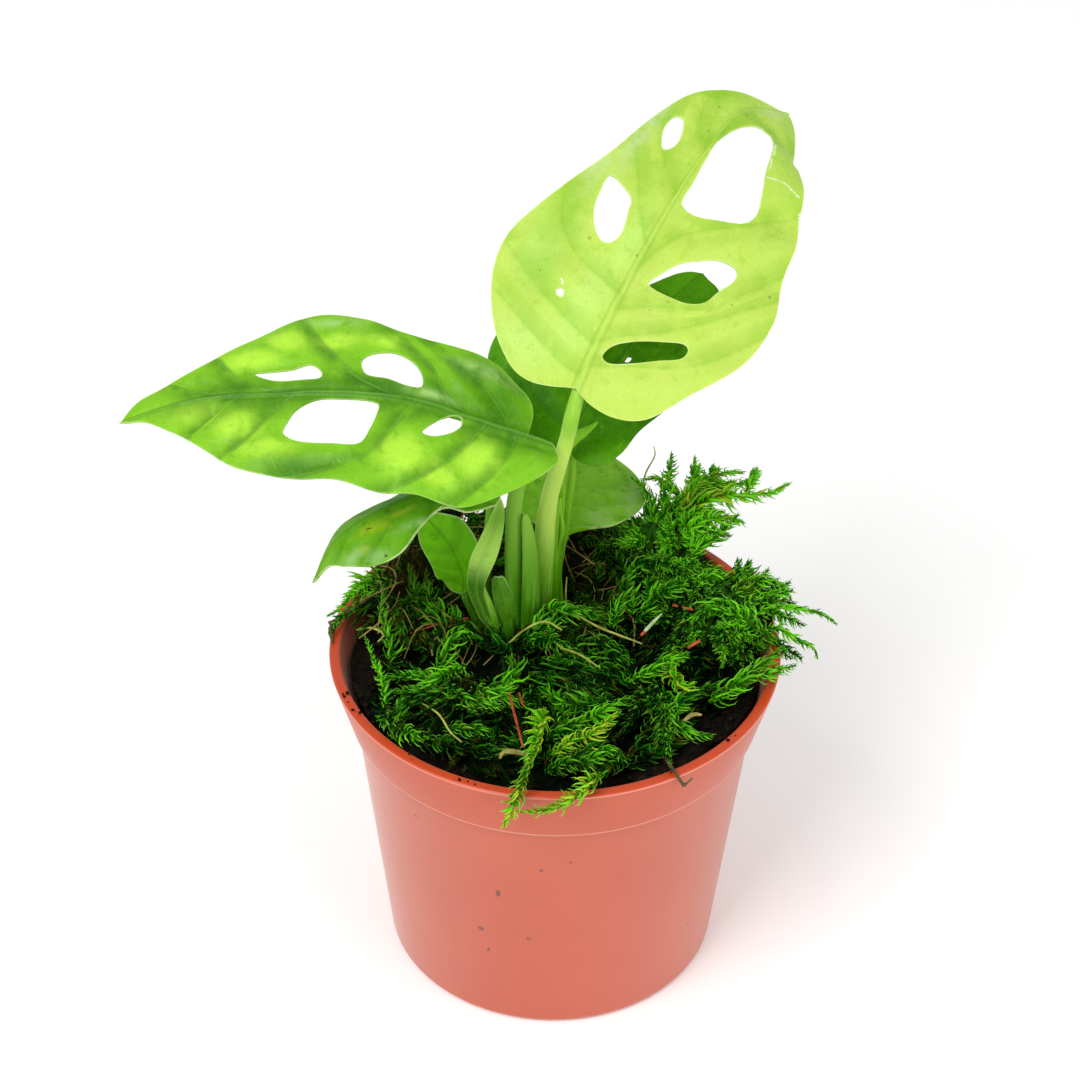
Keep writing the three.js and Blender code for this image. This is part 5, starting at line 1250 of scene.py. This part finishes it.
def add_tussock(bm, centre, radii, seed):
    ball = bmesh.ops.create_icosphere(bm, subdivisions=4, radius=1)["verts"]
    for vert in ball:
        rough = 0.86 + 0.16 * noise.noise(vert.co * 2.6 + Vector((seed, 0, 0)))
        vert.co = Vector(centre) + Vector([c * r * rough for c, r in zip(vert.co, radii)])
        if math.hypot(vert.co.x, vert.co.y) > OVER_WALL_R:
            vert.co.z = max(vert.co.z, POT_H + 0.15)


def leaflet(length, base_r, bend, cuts):
    """One moss leaf: a slim three-sided spike bent forward into a crescent."""
    bm = bmesh.new()
    bmesh.ops.create_cone(bm, segments=3, radius1=base_r, radius2=0.0, depth=length, cap_ends=False,
                          matrix=Matrix.Translation((0, 0, length / 2)))
    for part in cuts:
        bmesh.ops.bisect_plane(bm, geom=bm.verts[:] + bm.edges[:] + bm.faces[:], plane_no=UP,
                               plane_co=(0, 0, length * part))
    radius = length / math.radians(bend)
    for vert in bm.verts:
        x, y, z = vert.co
        part = z / length
        turn = z / radius
        x *= 1 + 3.2 * part * (1 - part)
        vert.co = (x, y * math.cos(turn) - radius * (1 - math.cos(turn)), (radius + y) * math.sin(turn))
    return bm


def shoot_template(name, seed, length, leaf_count, leaf_length, spread, bend, sweep, cuts=(0.35, 0.7)):
    """A straight moss shoot along +Z: leaflets in a spiral round a thin stem, all swept to one side."""
    draw = random_stream(seed)
    bm = bmesh.new()
    bmesh.ops.create_cone(bm, segments=4, radius1=0.34, radius2=0.12, depth=length, cap_ends=True,
                          matrix=Matrix.Translation((0, 0, length / 2)))
    long_edges = [e for e in bm.edges if abs(e.verts[0].co.z - e.verts[1].co.z) > 1]
    bmesh.ops.subdivide_edges(bm, edges=long_edges, cuts=9)
    tip = bm.verts.layers.float.new("leaflet_tip")
    shoot = bm.verts.layers.float.new("shoot_tone")
    for vert in bm.verts:
        vert[shoot] = -0.2
    single = leaflet(leaf_length, 0.22, bend, cuts)
    store = single.verts.layers.float.new("leaflet_tip")
    single.verts.layers.float.new("shoot_tone")
    for vert in single.verts:
        vert[store] = vert.co.length / leaf_length
    mesh = to_mesh("leaflet", single)
    for k in range(leaf_count):
        part = (k + 0.5) / leaf_count
        grow = min(1, part * 4 + 0.4) * mix(1, 0.35, max(0, part - 0.45) / 0.55)
        lean = math.radians(mix(*spread, part) + (next(draw) - 0.5) * 44)
        turn = math.radians(137.5 * k + (next(draw) - 0.5) * 70)
        size = grow * mix(0.65, 1.3, next(draw))
        before = len(bm.verts)
        bm.from_mesh(mesh)
        bm.verts.ensure_lookup_table()
        spot = Matrix.Translation((0, 0, part * length)) @ Matrix.Rotation(turn, 4, "Z")
        set_out = spot @ Matrix.Rotation(-lean, 4, "X") @ Matrix.Scale(size, 4)
        bmesh.ops.transform(bm, matrix=set_out, verts=bm.verts[before:])
        own_tone = 0.6 * (next(draw) - 0.55)
        for vert in bm.verts[before:]:
            vert.co.x += sweep * size * vert[tip] ** 2
            vert[shoot] = own_tone
    bpy.data.meshes.remove(mesh)
    return to_mesh(name, bm)


class ShootMaker:
    """Copies straight shoots into a bmesh, each bent along its own line."""

    def __init__(self, kinds):
        """kinds: name to a list of (length, template mesh), shortest first."""
        self.kinds = {}
        for kind, sizes in kinds.items():
            self.kinds[kind] = []
            for length, mesh in sizes:
                co = np.zeros(len(mesh.vertices) * 3)
                mesh.vertices.foreach_get("co", co)
                self.kinds[kind].append((length, mesh, co.reshape(-1, 3)))

    def add(self, bm, points, kind, shade, size=1.0):
        line = np.array(catmull_rom(points, density=8))
        run = lengths(line)
        length, template, co = min(self.kinds[kind], key=lambda entry: abs(entry[0] - run[-1]))
        tangents = unit(np.gradient(line, axis=0))
        side = unit(np.cross(tangents, np.tile([0.13, 0.05, 1.0], (len(line), 1))))
        over = np.cross(side, tangents)
        stop = np.clip(co[:, 2] / length, 0, 1) * run[-1]
        past = (co[:, 2] - np.clip(co[:, 2], 0, length)) * size
        place, side, over, ahead = [read_off(stop, run, rows) for rows in (line, side, over, tangents)]
        place = place + side * co[:, :1] * size + over * co[:, 1:2] * size + ahead * past[:, None]
        mesh = template.copy()
        mesh.vertices.foreach_set("co", place.ravel())
        tones = np.zeros(len(co), np.float32)
        mesh.attributes["shoot_tone"].data.foreach_get("value", tones)
        mesh.attributes["shoot_tone"].data.foreach_set("value", tones + shade)
        add_mesh(bm, mesh)


# Shoots that show one by one, each with its kind, how bright it is and how many side shoots it has.
PLACED_SHOOTS = [
    ("slim", 0.9, 1, [(24, 4, 49), (29, 4.6, 51.4), (33.4, 5.6, 50.4), (36, 6.4, 49), (38, 6.8, 47)]),
    ("slim", 0.8, 0, [(27, 1.6, 50), (29.8, 1, 50.8), (32.2, 0.2, 49.6), (34.3, 0.2, 48.4),
                      (35, -0.2, 46.8)]),
    ("full", 0.95, 1, [(22, 6, 50.6), (26.5, 7.7, 53.2), (29.5, 8.4, 53), (31.7, 7.9, 50.4)]),
    ("full", 0.9, 1, [(23.5, -10, 48.8), (24.1, -9.2, 50.4), (27.1, -6.7, 51), (29.9, -2.5, 50.6)]),
    ("full", 1.26, 4, [(16, 19, 51.6), (17.5, 24, 54), (15.1, 25, 56.7), (13.6, 25, 57.7), (12, 25, 57.4)]),
    ("full", 1.26, 4, [(16, 18, 52), (17.4, 22, 54.5), (18.4, 24, 56.1), (20.2, 25, 57.1), (23.2, 26, 58),
                       (25.7, 27, 57.3)]),
    ("full", 1.22, 4, [(17, 18.4, 53), (18.4, 22, 55.4), (19.9, 24, 56), (24.2, 26, 55.7), (28, 28, 55.8)]),
    ("full", 1.22, 5, [(17.6, 18, 53), (19, 21, 55.3), (21.6, 22, 56.8), (26.3, 24, 55.7), (29.5, 26, 54.6),
                       (32.3, 28, 54.7)]),
    ("full", 1.12, 2, [(17, 17, 53), (19.6, 18, 55), (22.8, 20, 54.9), (25.7, 22, 52.6)]),
    ("full", 1.12, 3, [(14.6, 19, 50.8), (13.7, 22, 52.8), (13, 24, 54.7), (11.7, 25, 56.5), (10.4, 26, 57)]),
    ("full", 1.12, 3, [(15.4, 19, 51.6), (15, 21, 53.5), (15.9, 22, 55.4), (17.5, 23, 56.4)]),
    ("full", 1.0, 3, [(17.8, 14, 51.6), (19.6, 15.6, 53.2), (20.2, 18.4, 54.2), (19.2, 21, 55.6)]),
    ("full", 1.25, 0, [(-1.3, -14.7, 49.6), (-1.9, -20.9, 51.6), (-2.7, -25.5, 51.8), (-3.8, -29.3, 51.3),
                       (-4.7, -31.2, 50)]),
    ("full", 1.4, 0, [(-3.9, -29.6, 51.2), (-4.7, -31.5, 50), (-5.4, -32, 47.8), (-6.3, -32, 45.2)]),
    ("full", 1.4, 0, [(5.7, -27.2, 50), (3.8, -30.4, 50.4), (1.5, -31.9, 49.4), (-1.4, -31.6, 47.6),
                      (-4.3, -31.4, 47.2)]),
    ("full", 1.4, 0, [(-0.3, -23.2, 49.4), (2, -21.8, 50.3), (4.5, -21, 51), (6.5, -19, 51.5),
                      (8.1, -17.2, 51.6)]),
    ("full", 0.75, 0, [(-21.8, -3.3, 46.4), (-21.7, -1.3, 49), (-22.4, 0.4, 50.5), (-23.2, 2.4, 52),
                       (-22.9, 4.3, 53.5)]),
    ("slim", 0.85, 0, [(-22.2, -12.8, 46.8), (-22.1, -11, 48.2), (-22.8, -7.9, 49.5), (-24.1, -5, 50.5),
                       (-25.1, -2.5, 51.5)]),
    ("full", 0.9, 0, [(-22.7, -14.8, 48.2), (-20, -17.7, 48.8), (-17, -19.1, 48.8), (-13, -19.5, 48.4)]),
    ("full", 0.85, 0, [(-11.8, -6.1, 49.6), (-14.1, -8.9, 50.8), (-16.5, -11.1, 50.8), (-19.2, -11.3, 49.2)]),
    ("full", 0.8, 0, [(-11.2, -12.9, 49.6), (-13.9, -14.5, 50.4), (-16.7, -14.9, 49.4)]),
    ("curled", 0.95, 0, [(-15.1, -5, 47.6), (-14.4, -3.7, 50), (-13.5, -1.8, 51.2), (-12.3, -0.3, 51),
                         (-10.9, -0.5, 49.6)]),
    ("curled", 0.9, 0, [(-9.7, -11.9, 49.8), (-6.7, -11.4, 51), (-5.3, -8.7, 51.4), (-6.3, -5.1, 50.4)]),
    ("full", 0.7, 0, [(-20.9, -17.6, 46.8), (-20.2, -15.8, 49), (-19.6, -11.7, 50)]),
    ("full", 0.85, 0, [(-11.2, -15, 49.2), (-8.8, -14, 50.2), (-6.9, -13.1, 51.2), (-5.7, -10.9, 51.6)]),
    ("full", 0.7, 0, [(-15.4, -15, 47.6), (-14, -14.3, 49), (-11.4, -14.2, 50), (-9, -14.6, 50)]),
    ("full", 0.6, 0, [(-14.5, -17.4, 48), (-12.1, -18.2, 49.3), (-9.5, -18.6, 49.6), (-7.2, -18.6, 49)]),
    ("full", 0.7, 0, [(7.8, 3.7, 48.4), (8.2, 5.2, 50.5), (9, 7.2, 52), (10.3, 11.3, 53)]),
    ("curled", 0.75, 1, [(9, 12, 49), (11.4, 13, 51.8), (14, 12.4, 52.6), (17, 11.6, 52)]),
    ("full", 0.6, 0, [(10.7, 3.8, 49), (12.3, 4.3, 51), (13.9, 5.7, 52.5), (16.3, 6.1, 53.5),
                      (18.9, 9.5, 53)]),
    ("curled", 0.95, 0, [(18.1, 8.4, 51), (19.1, 8.1, 52.5), (21, 9.2, 53.5), (22.7, 9.5, 52.5)]),
    ("curled", 0.9, 0, [(27.9, -1.5, 51.6), (24.3, 0.1, 53.4), (20.7, 1.4, 53.6), (19.3, 0.9, 51.5)]),
    ("full", 0.8, 0, [(24, 3, 52.6), (21.5, 2.6, 53.8), (18.6, 0.6, 52.6), (17.8, -1.4, 51)]),
    ("full", 0.85, 0, [(9.3, -8.3, 49), (11.8, -8.2, 50.5), (13.6, -7.5, 51.5), (15.6, -6.7, 52),
                       (17.3, -5.5, 51.5)]),
    ("curled", 1.25, 0, [(14.5, -6.3, 50), (15.6, -9.9, 51.5), (16.5, -12, 51.5), (18, -10.5, 50.5)]),
    ("full", 0.8, 0, [(13.2, -13.1, 49.5), (14.5, -15.5, 50), (15.8, -17.9, 50), (17.8, -18.8, 49.5),
                      (20.1, -18.7, 49)]),
    ("curled", 0.9, 0, [(20, -12, 49), (22.4, -11.1, 50.4), (24.6, -9.6, 51.2), (26.6, -7.2, 51.5)]),
    ("full", 0.85, 0, [(-0.3, -19.2, 49), (2, -18.7, 50), (4.6, -17.5, 50.5), (6.7, -15.6, 51),
                       (10.4, -12.1, 50)]),
    ("full", 0.65, 0, [(1.7, -24.7, 48.5), (4, -24.1, 49.5), (5.9, -23.1, 50), (7.9, -22.8, 50),
                       (8.7, -23.6, 49)]),
    ("curled", 0.8, 0, [(6, -13.2, 50), (3, -14.5, 50.5), (0.1, -12.7, 50), (-1.5, -9.7, 49)]),
    ("full", 0.6, 0, [(-4.6, 0, 47.5), (-2, -0.2, 49.4), (1.5, -1.9, 49.8), (4.6, -3.8, 49)]),
    ("slim", 0.45, 0, [(13.4, -15.2, 47.8), (13.9, -18.5, 49.4), (14.4, -22.2, 50.2), (14.8, -25.4, 50.4)]),
    ("full", 0.95, 0, [(-22.4, 15.4, 48.4), (-24.6, 12.4, 49.8), (-26.8, 9, 50.3), (-28.4, 6, 50)]),
    ("slim", 1.0, 0, [(-23, 12.6, 49.6), (-25, 10, 50.4), (-27.4, 7.2, 50.6), (-29, 4.8, 50.2),
                      (-30.4, 3.6, 50)]),
    ("slim", 0.7, 0, [(-20.4, 13.4, 48.8), (-22.6, 10.4, 50.2), (-25, 7.6, 50.7), (-26.8, 5.8, 50.4)]),
    ("slim", 0.5, 0, [(-26, 6.4, 49.6), (-27.8, 4.6, 49.9), (-29, 3, 49.6), (-29.6, 1, 49.2)]),
]
# Old shoots in the dry moss, seen between the leaves.
OLD_SHOOTS = [
    [(-19.4, 9.7, 46), (-19.1, 9.6, 49.5), (-19.4, 10.1, 51.5), (-19.8, 10.8, 53)],
    [(-16.8, 8.6, 45.6), (-16.9, 9, 48.6), (-17.4, 9.8, 51), (-17.4, 10.6, 52.4)],
    [(4, 18, 45.4), (6.4, 20.5, 48.6), (8, 23.4, 50.4), (8.2, 26, 50)],
    [(-7, 22, 46.6), (-7.6, 25, 49.8), (-6, 27, 50.6), (-3, 27.6, 50)],
]


def clump(draw, x, y, level, heading, reach, count):
    """Shoots that lie side by side on the carpet and arch the same way."""
    bend = (next(draw) - 0.5) * 2.2
    rise = mix(0.8, 2.6, next(draw))
    routes = []
    for k in range(count):
        aside = (k - (count - 1) / 2) * mix(2.0, 3.0, next(draw))
        x0, y0 = x - aside * math.sin(heading), y + aside * math.cos(heading)
        run = reach * mix(0.75, 1.15, next(draw))
        lift = rise * mix(0.6, 1.3, next(draw))
        route = [(x0, y0, level)]
        for part, share in ((0.3, 0.8), (0.65, 1.0), (1.0, 0.3)):
            dx, dy = polar(heading + bend * part, run * part)
            route.append((x0 + dx, y0 + dy, level + lift * share))
        routes.append(route)
    return routes


def has_room(route, reach):
    """True where a shoot keeps clear of the stalks, the low leaves, the wall and the bare soil."""
    for x, y, z in route:
        if min(math.hypot(x - a, y - b) for a, b in STALK_FEET) < STALK_ROOM:
            return False
        under_leaf = 13 < y < 36 and -7 < x < 14 and z > 51.5
        by_tiny_leaf = 6 < y < 15 and -20 < x < -8 and z > 50
        away = math.hypot(x, y)
        in_wall = away > INNER_WALL_R - WALL_ROOM and z < POT_H + WALL_ROOM
        if under_leaf or by_tiny_leaf or in_wall or away > reach(math.degrees(math.atan2(y, x)) % 360):
            return False
    return True


def carpet_limit(turn):
    """Where shoots of the green carpet may reach to; the gap at the back right stays open."""
    return moss_reach(turn) + 2.4


def branch_of(route, draw):
    """A side shoot that leaves a main shoot partway and spreads to one side."""
    line = catmull_rom(route, density=6)
    start = line[int(len(line) * mix(0.1, 0.6, next(draw)))]
    ahead = (line[-1] - line[0]).normalized()
    side = ahead.cross(UP).normalized() * (1 if next(draw) < 0.5 else -1)
    reach = mix(4, 7.5, next(draw))
    lift = mix(-0.6, 1.0, next(draw))
    return [start, start + (ahead * 0.5 + side * 0.45) * reach * 0.5 + UP * lift,
            start + (ahead * 0.75 + side * 0.6) * reach + UP * lift * 0.4]


def tussock_shoot(draw, centre, radii):
    """A shoot that leaves a raised tuft outward and droops a little."""
    turn = next(draw) * 2 * math.pi
    rise = mix(-0.1, 1, next(draw))
    out = Vector((*polar(turn, math.sqrt(max(0, 1 - rise * rise))), rise))
    start = Vector(centre) + Vector([c * r * 0.66 for c, r in zip(out, radii)])
    reach = mix(5, 8, next(draw))
    sway = Vector((next(draw) - 0.5, next(draw) - 0.5, 0)) * 6
    return [start, start + out * reach * 0.4 + sway * 0.3, start + out * reach * 0.66 + sway * 0.8 - UP * 0.6]


def shoot_kinds():
    fine, long = (0.5,), (0.28, 0.54, 0.78)
    return ShootMaker({
        "full": [(8, shoot_template("full_short", 3, 8, 64, 2.0, (104, 62), 95, 0.5)),
                 (13, shoot_template("full_middle", 5, 13, 102, 2.1, (106, 62), 100, 0.7)),
                 (18, shoot_template("full_long", 6, 18, 138, 2.1, (104, 60), 95, 0.6))],
        "slim": [(8, shoot_template("slim_short", 8, 8, 72, 1.3, (90, 50), 60, 0.2, fine)),
                 (14, shoot_template("slim_long", 9, 14, 120, 1.35, (90, 50), 60, 0.3, fine))],
        "curled": [(8, shoot_template("curled_short", 21, 8, 52, 2.9, (118, 84), 150, 0.9, long)),
                   (13, shoot_template("curled_long", 23, 13, 82, 2.9, (118, 82), 150, 0.9, long))],
    })


def pick_kind(draw):
    pick = next(draw)
    return "full" if pick < 0.5 else "curled" if pick < 0.8 else "slim"


def region_of(x, y):
    return "moss_front" if y < -9 else "moss_left" if x < -2 else "moss_right" if y < 6 else "moss_back"


def lay_carpet(draw, shoots, regions, wanted, heights, lights, size):
    """One layer of the carpet: groups of shoots lying side by side, kept out of the dark hollows."""
    made = 0
    while made < wanted:
        turn = next(draw) * 360
        x, y = polar(math.radians(turn), moss_reach(turn) * math.sqrt(next(draw)))
        bare = (y > 6 and x < 4) or (x < -15 and y > -10)
        hollow = noise.noise(Vector((x, y, 31)) * 0.17) < (-0.06 if heights[0] > 0 else -0.32)
        if bare or hollow:
            continue
        level = moss_top(x, y) + mix(*heights, next(draw))
        heading = math.atan2(y, x) + (next(draw) - 0.5) * 3.6
        group = clump(draw, x, y, level, heading, mix(7, 16, next(draw)), 2 + int(next(draw) * 2))
        kind = pick_kind(draw)
        light = mix(*lights, next(draw))
        for route in group:
            if has_room(route, carpet_limit):
                shade = min(1, max(0, light + 0.2 * (next(draw) - 0.5)))
                shoots.add(regions[region_of(x, y)], route, kind, shade, mix(*size, next(draw)))
                made += 1


def build_moss():
    shoots = shoot_kinds()
    green = moss_finish("green_moss", (2, 16, 0), (22, 108, 0), (98, 204, 8), (164, 232, 72),
                        (112, 108, 28), 0.4)
    bed_green = bed_finish("moss_bed", (5, 10, 1), (22, 46, 5), (46, 104, 12))
    bed = moss_bed((0, 0), moss_reach, moss_top, 26, 90, 0.7, 2)
    for k, (centre, radii, _) in enumerate(TUSSOCKS):
        add_tussock(bed, centre, radii, 5 + k)
    point_outwards(bed)
    finish_piece("moss_underlayer", bed, [bed_green], ["moss"], sharp=180)
    draw = random_stream(77)
    regions = {name: bmesh.new() for name in REGIONS}
    sprays = regions["moss_sprays"]
    for kind, shade, sides, route in PLACED_SHOOTS:
        shoots.add(sprays, route, kind, shade, 1.3 if route[0][1] > 15 else 1.1)
        for _ in range(sides):
            branch = branch_of(route, draw)
            if has_room(branch, lambda turn: 60):
                shoots.add(sprays, branch, "full", shade - 0.3 * next(draw))
    for layer in LAYERS:
        lay_carpet(draw, shoots, regions, *layer)
    for centre, radii, count in TUSSOCKS:
        region, darkest = ("moss_back", 0.6) if centre[1] > 15 else ("moss_right", 0.35)
        for _ in range(count):
            route = tussock_shoot(draw, centre, radii)
            end = route[-1]
            if (end.x < 13 and end.z > 53.5) or (end.x > 21 and end.y > 15):
                continue
            light = mix(darkest, 1.05, next(draw))
            shoots.add(regions[region], route, pick_kind(draw), light, 1.1)
    for name, bm in regions.items():
        finish_piece(name, bm, [green], ["moss"], sharp=180)
    build_old_moss(shoots, draw)


def build_old_moss(shoots, draw):
    """The browned moss behind the stalks: bare stems in a tangle, with few leaflets left."""
    old = moss_finish("browned_moss", (18, 38, 2), (54, 122, 10), (90, 170, 24), (124, 166, 44),
                      (112, 84, 32), 0.5)
    bed = moss_bed((OLD_X, OLD_Y), old_reach, old_moss_top, 18, 80, 0.8, 12)
    bed_brown = bed_finish("browned_bed", (24, 22, 6), (96, 78, 28), (84, 80, 28))
    finish_piece("old_moss_underlayer", bed, [bed_brown], ["old_moss"], sharp=180)
    patch = bmesh.new()
    stems = bmesh.new()
    for route in OLD_SHOOTS:
        shoots.add(patch, route, "full", 0.8, 0.9)
    made = 0
    while made < OLD_COUNT:
        turn = next(draw) * 360
        dx, dy = polar(math.radians(turn), old_reach(turn) * math.sqrt(next(draw)))
        x, y = OLD_X + dx, OLD_Y + dy
        level = old_moss_top(x, y) + mix(-0.6, 1.0, next(draw))
        route = clump(draw, x, y, level, next(draw) * 6.28, mix(6, 11, next(draw)), 1)[0]
        if not has_room(route, lambda turn: 27.6):
            continue
        if made % 2:
            tube(stems, [(*point, mix(0.06, 0.13, next(draw))) for point in route], sides=5, step=1.4)
        else:
            light = next(draw) ** 1.4 * (0.4 if x < -12 else 1)
            shoots.add(patch, route, "slim" if made % 4 else "full", light, 0.9)
        made += 1
    point_outwards(stems)
    finish_piece("old_moss_shoots", patch, [old], ["old_moss"], sharp=180)
    brown = litter_finish("dry_stem_brown", (116, 94, 42), (156, 138, 70))
    finish_piece("old_moss_stems", stems, [brown], ["old_moss"])


# ------------------------------------------------------------------ litter in the moss
RED_NEEDLES = [
    [(-5.9, -14.4, 52.2, 0.14), (-5, -19.6, 52.4, 0.17), (-4, -24.4, 51.8, 0.12)],
    [(-4.6, -14.4, 52.2, 0.14), (-4.1, -17.2, 52.6, 0.15)],
    [(-19.4, 2, 48.5, 0.12), (-15.4, 3.8, 48.7, 0.15), (-11.7, 6, 48, 0.12)],
    [(17.3, -5.6, 52.8, 0.2), (18.9, -4.6, 53.2, 0.22)],
    [(15.6, 3, 53, 0.18), (18.2, 1.6, 53.4, 0.16)],
    [(11.3, -1.7, 51.6, 0.2), (11.9, -1.1, 51.9, 0.22)],
]
PALE_ROOTS = [
    [(-17.4, -14.7, 50.8, 0.1), (-14.9, -17.5, 51.2, 0.13), (-13.3, -20.5, 50.8, 0.13),
     (-11.8, -21.5, 50, 0.09)],
    [(-6.4, -0.8, 49, 0.1), (-4, 0.5, 50.6, 0.14), (-1.4, 1.6, 51.1, 0.16), (0.9, 0.6, 50.5, 0.12)],
    [(2.4, 4.8, 50, 0.12), (5.9, 0.7, 50.9, 0.15), (8.6, -0.9, 50.9, 0.14), (11.5, -1.5, 50, 0.1)],
    [(-0.3, -0.7, 49.8, 0.1), (0.9, -3, 50.4, 0.14), (3.3, -4.4, 50.4, 0.14), (5.9, -6.6, 50, 0.1)],
    [(1.5, 8.8, 47.5, 0.13), (1.4, 8.1, 51, 0.12), (1.5, 8.1, 53.5, 0.07)],
    [(11.9, 24.1, 57, 0.14), (12.3, 24, 59.5, 0.13), (13.4, 24.3, 62, 0.1), (13.2, 24.5, 63.5, 0.05)],
    [(21.5, 9.6, 51, 0.12), (23.3, 11.1, 52, 0.16), (24.7, 11.8, 52.2, 0.16), (26.5, 9.8, 51.4, 0.1)],
    [(-26.5, 2.7, 48.4, 0.1), (-24.4, 1.2, 50, 0.17), (-22.7, -0.1, 50, 0.17), (-23.5, -0.5, 49, 0.1)],
]
SPLINTER = [[(11.8, -1.2, 51.9, 0.22), (12.8, 0, 52.3, 0.26), (14.1, 1.4, 52.8, 0.1)]]
STRAW = [[(-6.9, -24.3, 49.8, 0.16), (-6.4, -24.2, 50.8, 0.3), (-5, -24.6, 51.2, 0.36),
          (-3.4, -24.5, 50.6, 0.3)],
         [(16.4, -17.6, 50.4, 0.2), (17.6, -16.8, 51, 0.3), (18.8, -16.4, 50.6, 0.15)]]
DRY_TWIGS = [[(14.2, -22.1, 48.1, 0.22), (14.6, -23.9, 48.7, 0.26), (15.3, -25.7, 48.9, 0.2),
              (15.8, -26.1, 48.2, 0.2), (16.4, -26.3, 47.3, 0.26)],
             [(16.4, -26.3, 47.3, 0.2), (16.9, -26.1, 47.7, 0.14), (17.5, -25.7, 48.1, 0.1)],
             [(-30.2, 2.9, 49.2, 0.4), (-29.3, 3.4, 49.5, 0.24), (-28, 4.5, 49.9, 0.34),
              (-26.9, 5.4, 50, 0.22), (-25.6, 6.8, 50.3, 0.32), (-24.2, 8.4, 50.2, 0.22),
              (-22.3, 11.1, 49.8, 0.28), (-20.1, 14.3, 48.5, 0.18)],
             [(-29.4, 3.2, 49.3, 0.2), (-30, 2, 49, 0.34), (-29.8, 0.8, 48.8, 0.26),
              (-29.6, -0.4, 48.7, 0.16)]]


def build_litter():
    kinds = [
        ("red_needles", RED_NEEDLES, (126, 34, 16), (186, 78, 44)),
        ("pale_roots", PALE_ROOTS, (132, 140, 44), (176, 184, 84)),
        ("green_splinter", SPLINTER, (142, 176, 110), (186, 206, 150)),
        ("straw_bits", STRAW, (120, 110, 52), (166, 154, 88)),
        ("dry_twigs", DRY_TWIGS, (52, 44, 20), (96, 88, 44)),
    ]
    for name, routes, dark, light in kinds:
        skin = litter_finish(name + "_skin", dark, light)
        finish_piece(name, tube_piece(routes, sides=7, step=0.6), [skin], ["moss"])


# ------------------------------------------------------------------ studio
FLOOR_REACH = 3  # from the middle to each side, in metres
FLOOR_GLOW = 0.12
SKY_STRENGTH = 0.62
LIGHT_AIM = Vector((0, 0, 0.06))
# Each light's name, place and size in metres, and its watts.
LIGHTS = [("key_light", (-0.35, -0.45, 0.75), 0.45, 4.6), ("fill_light", (0.6, -0.5, 0.35), 0.6, 2.0)]


def area_light(name, place, size, watts):
    data = bpy.data.lights.new(name, "AREA")
    data.shape = "SQUARE"
    data.size, data.energy = size, watts
    light = add_object(name, data)
    light.location = place
    light.rotation_euler = (LIGHT_AIM - light.location).to_track_quat("-Z", "Y").to_euler()


def build_studio():
    f = Finish("pale_floor", (250, 250, 250), roughness=0.9, specular=0.1)
    f.cover((253, 253, 253), f.noise(f.place(), 30))
    f.tune("Emission", Color=(1, 1, 1, 1), Strength=FLOOR_GLOW)
    bm = bmesh.new()
    bmesh.ops.create_grid(bm, x_segments=2, y_segments=2, size=FLOOR_REACH)
    floor = add_object("floor", to_mesh("floor", bm))
    floor.data.materials.append(f.done())
    world = bpy.data.worlds.new("white_room")
    bpy.context.scene.world = world
    world.use_nodes = True
    sky = world.node_tree.nodes["Background"]
    sky.inputs["Color"].default_value = (1, 1, 1, 1)
    sky.inputs["Strength"].default_value = SKY_STRENGTH
    for light in LIGHTS:
        area_light(*light)
    bpy.context.scene.view_settings.view_transform = "Standard"


build_pot()
build_soil()
build_leaves()
build_moss()
build_litter()
build_studio()
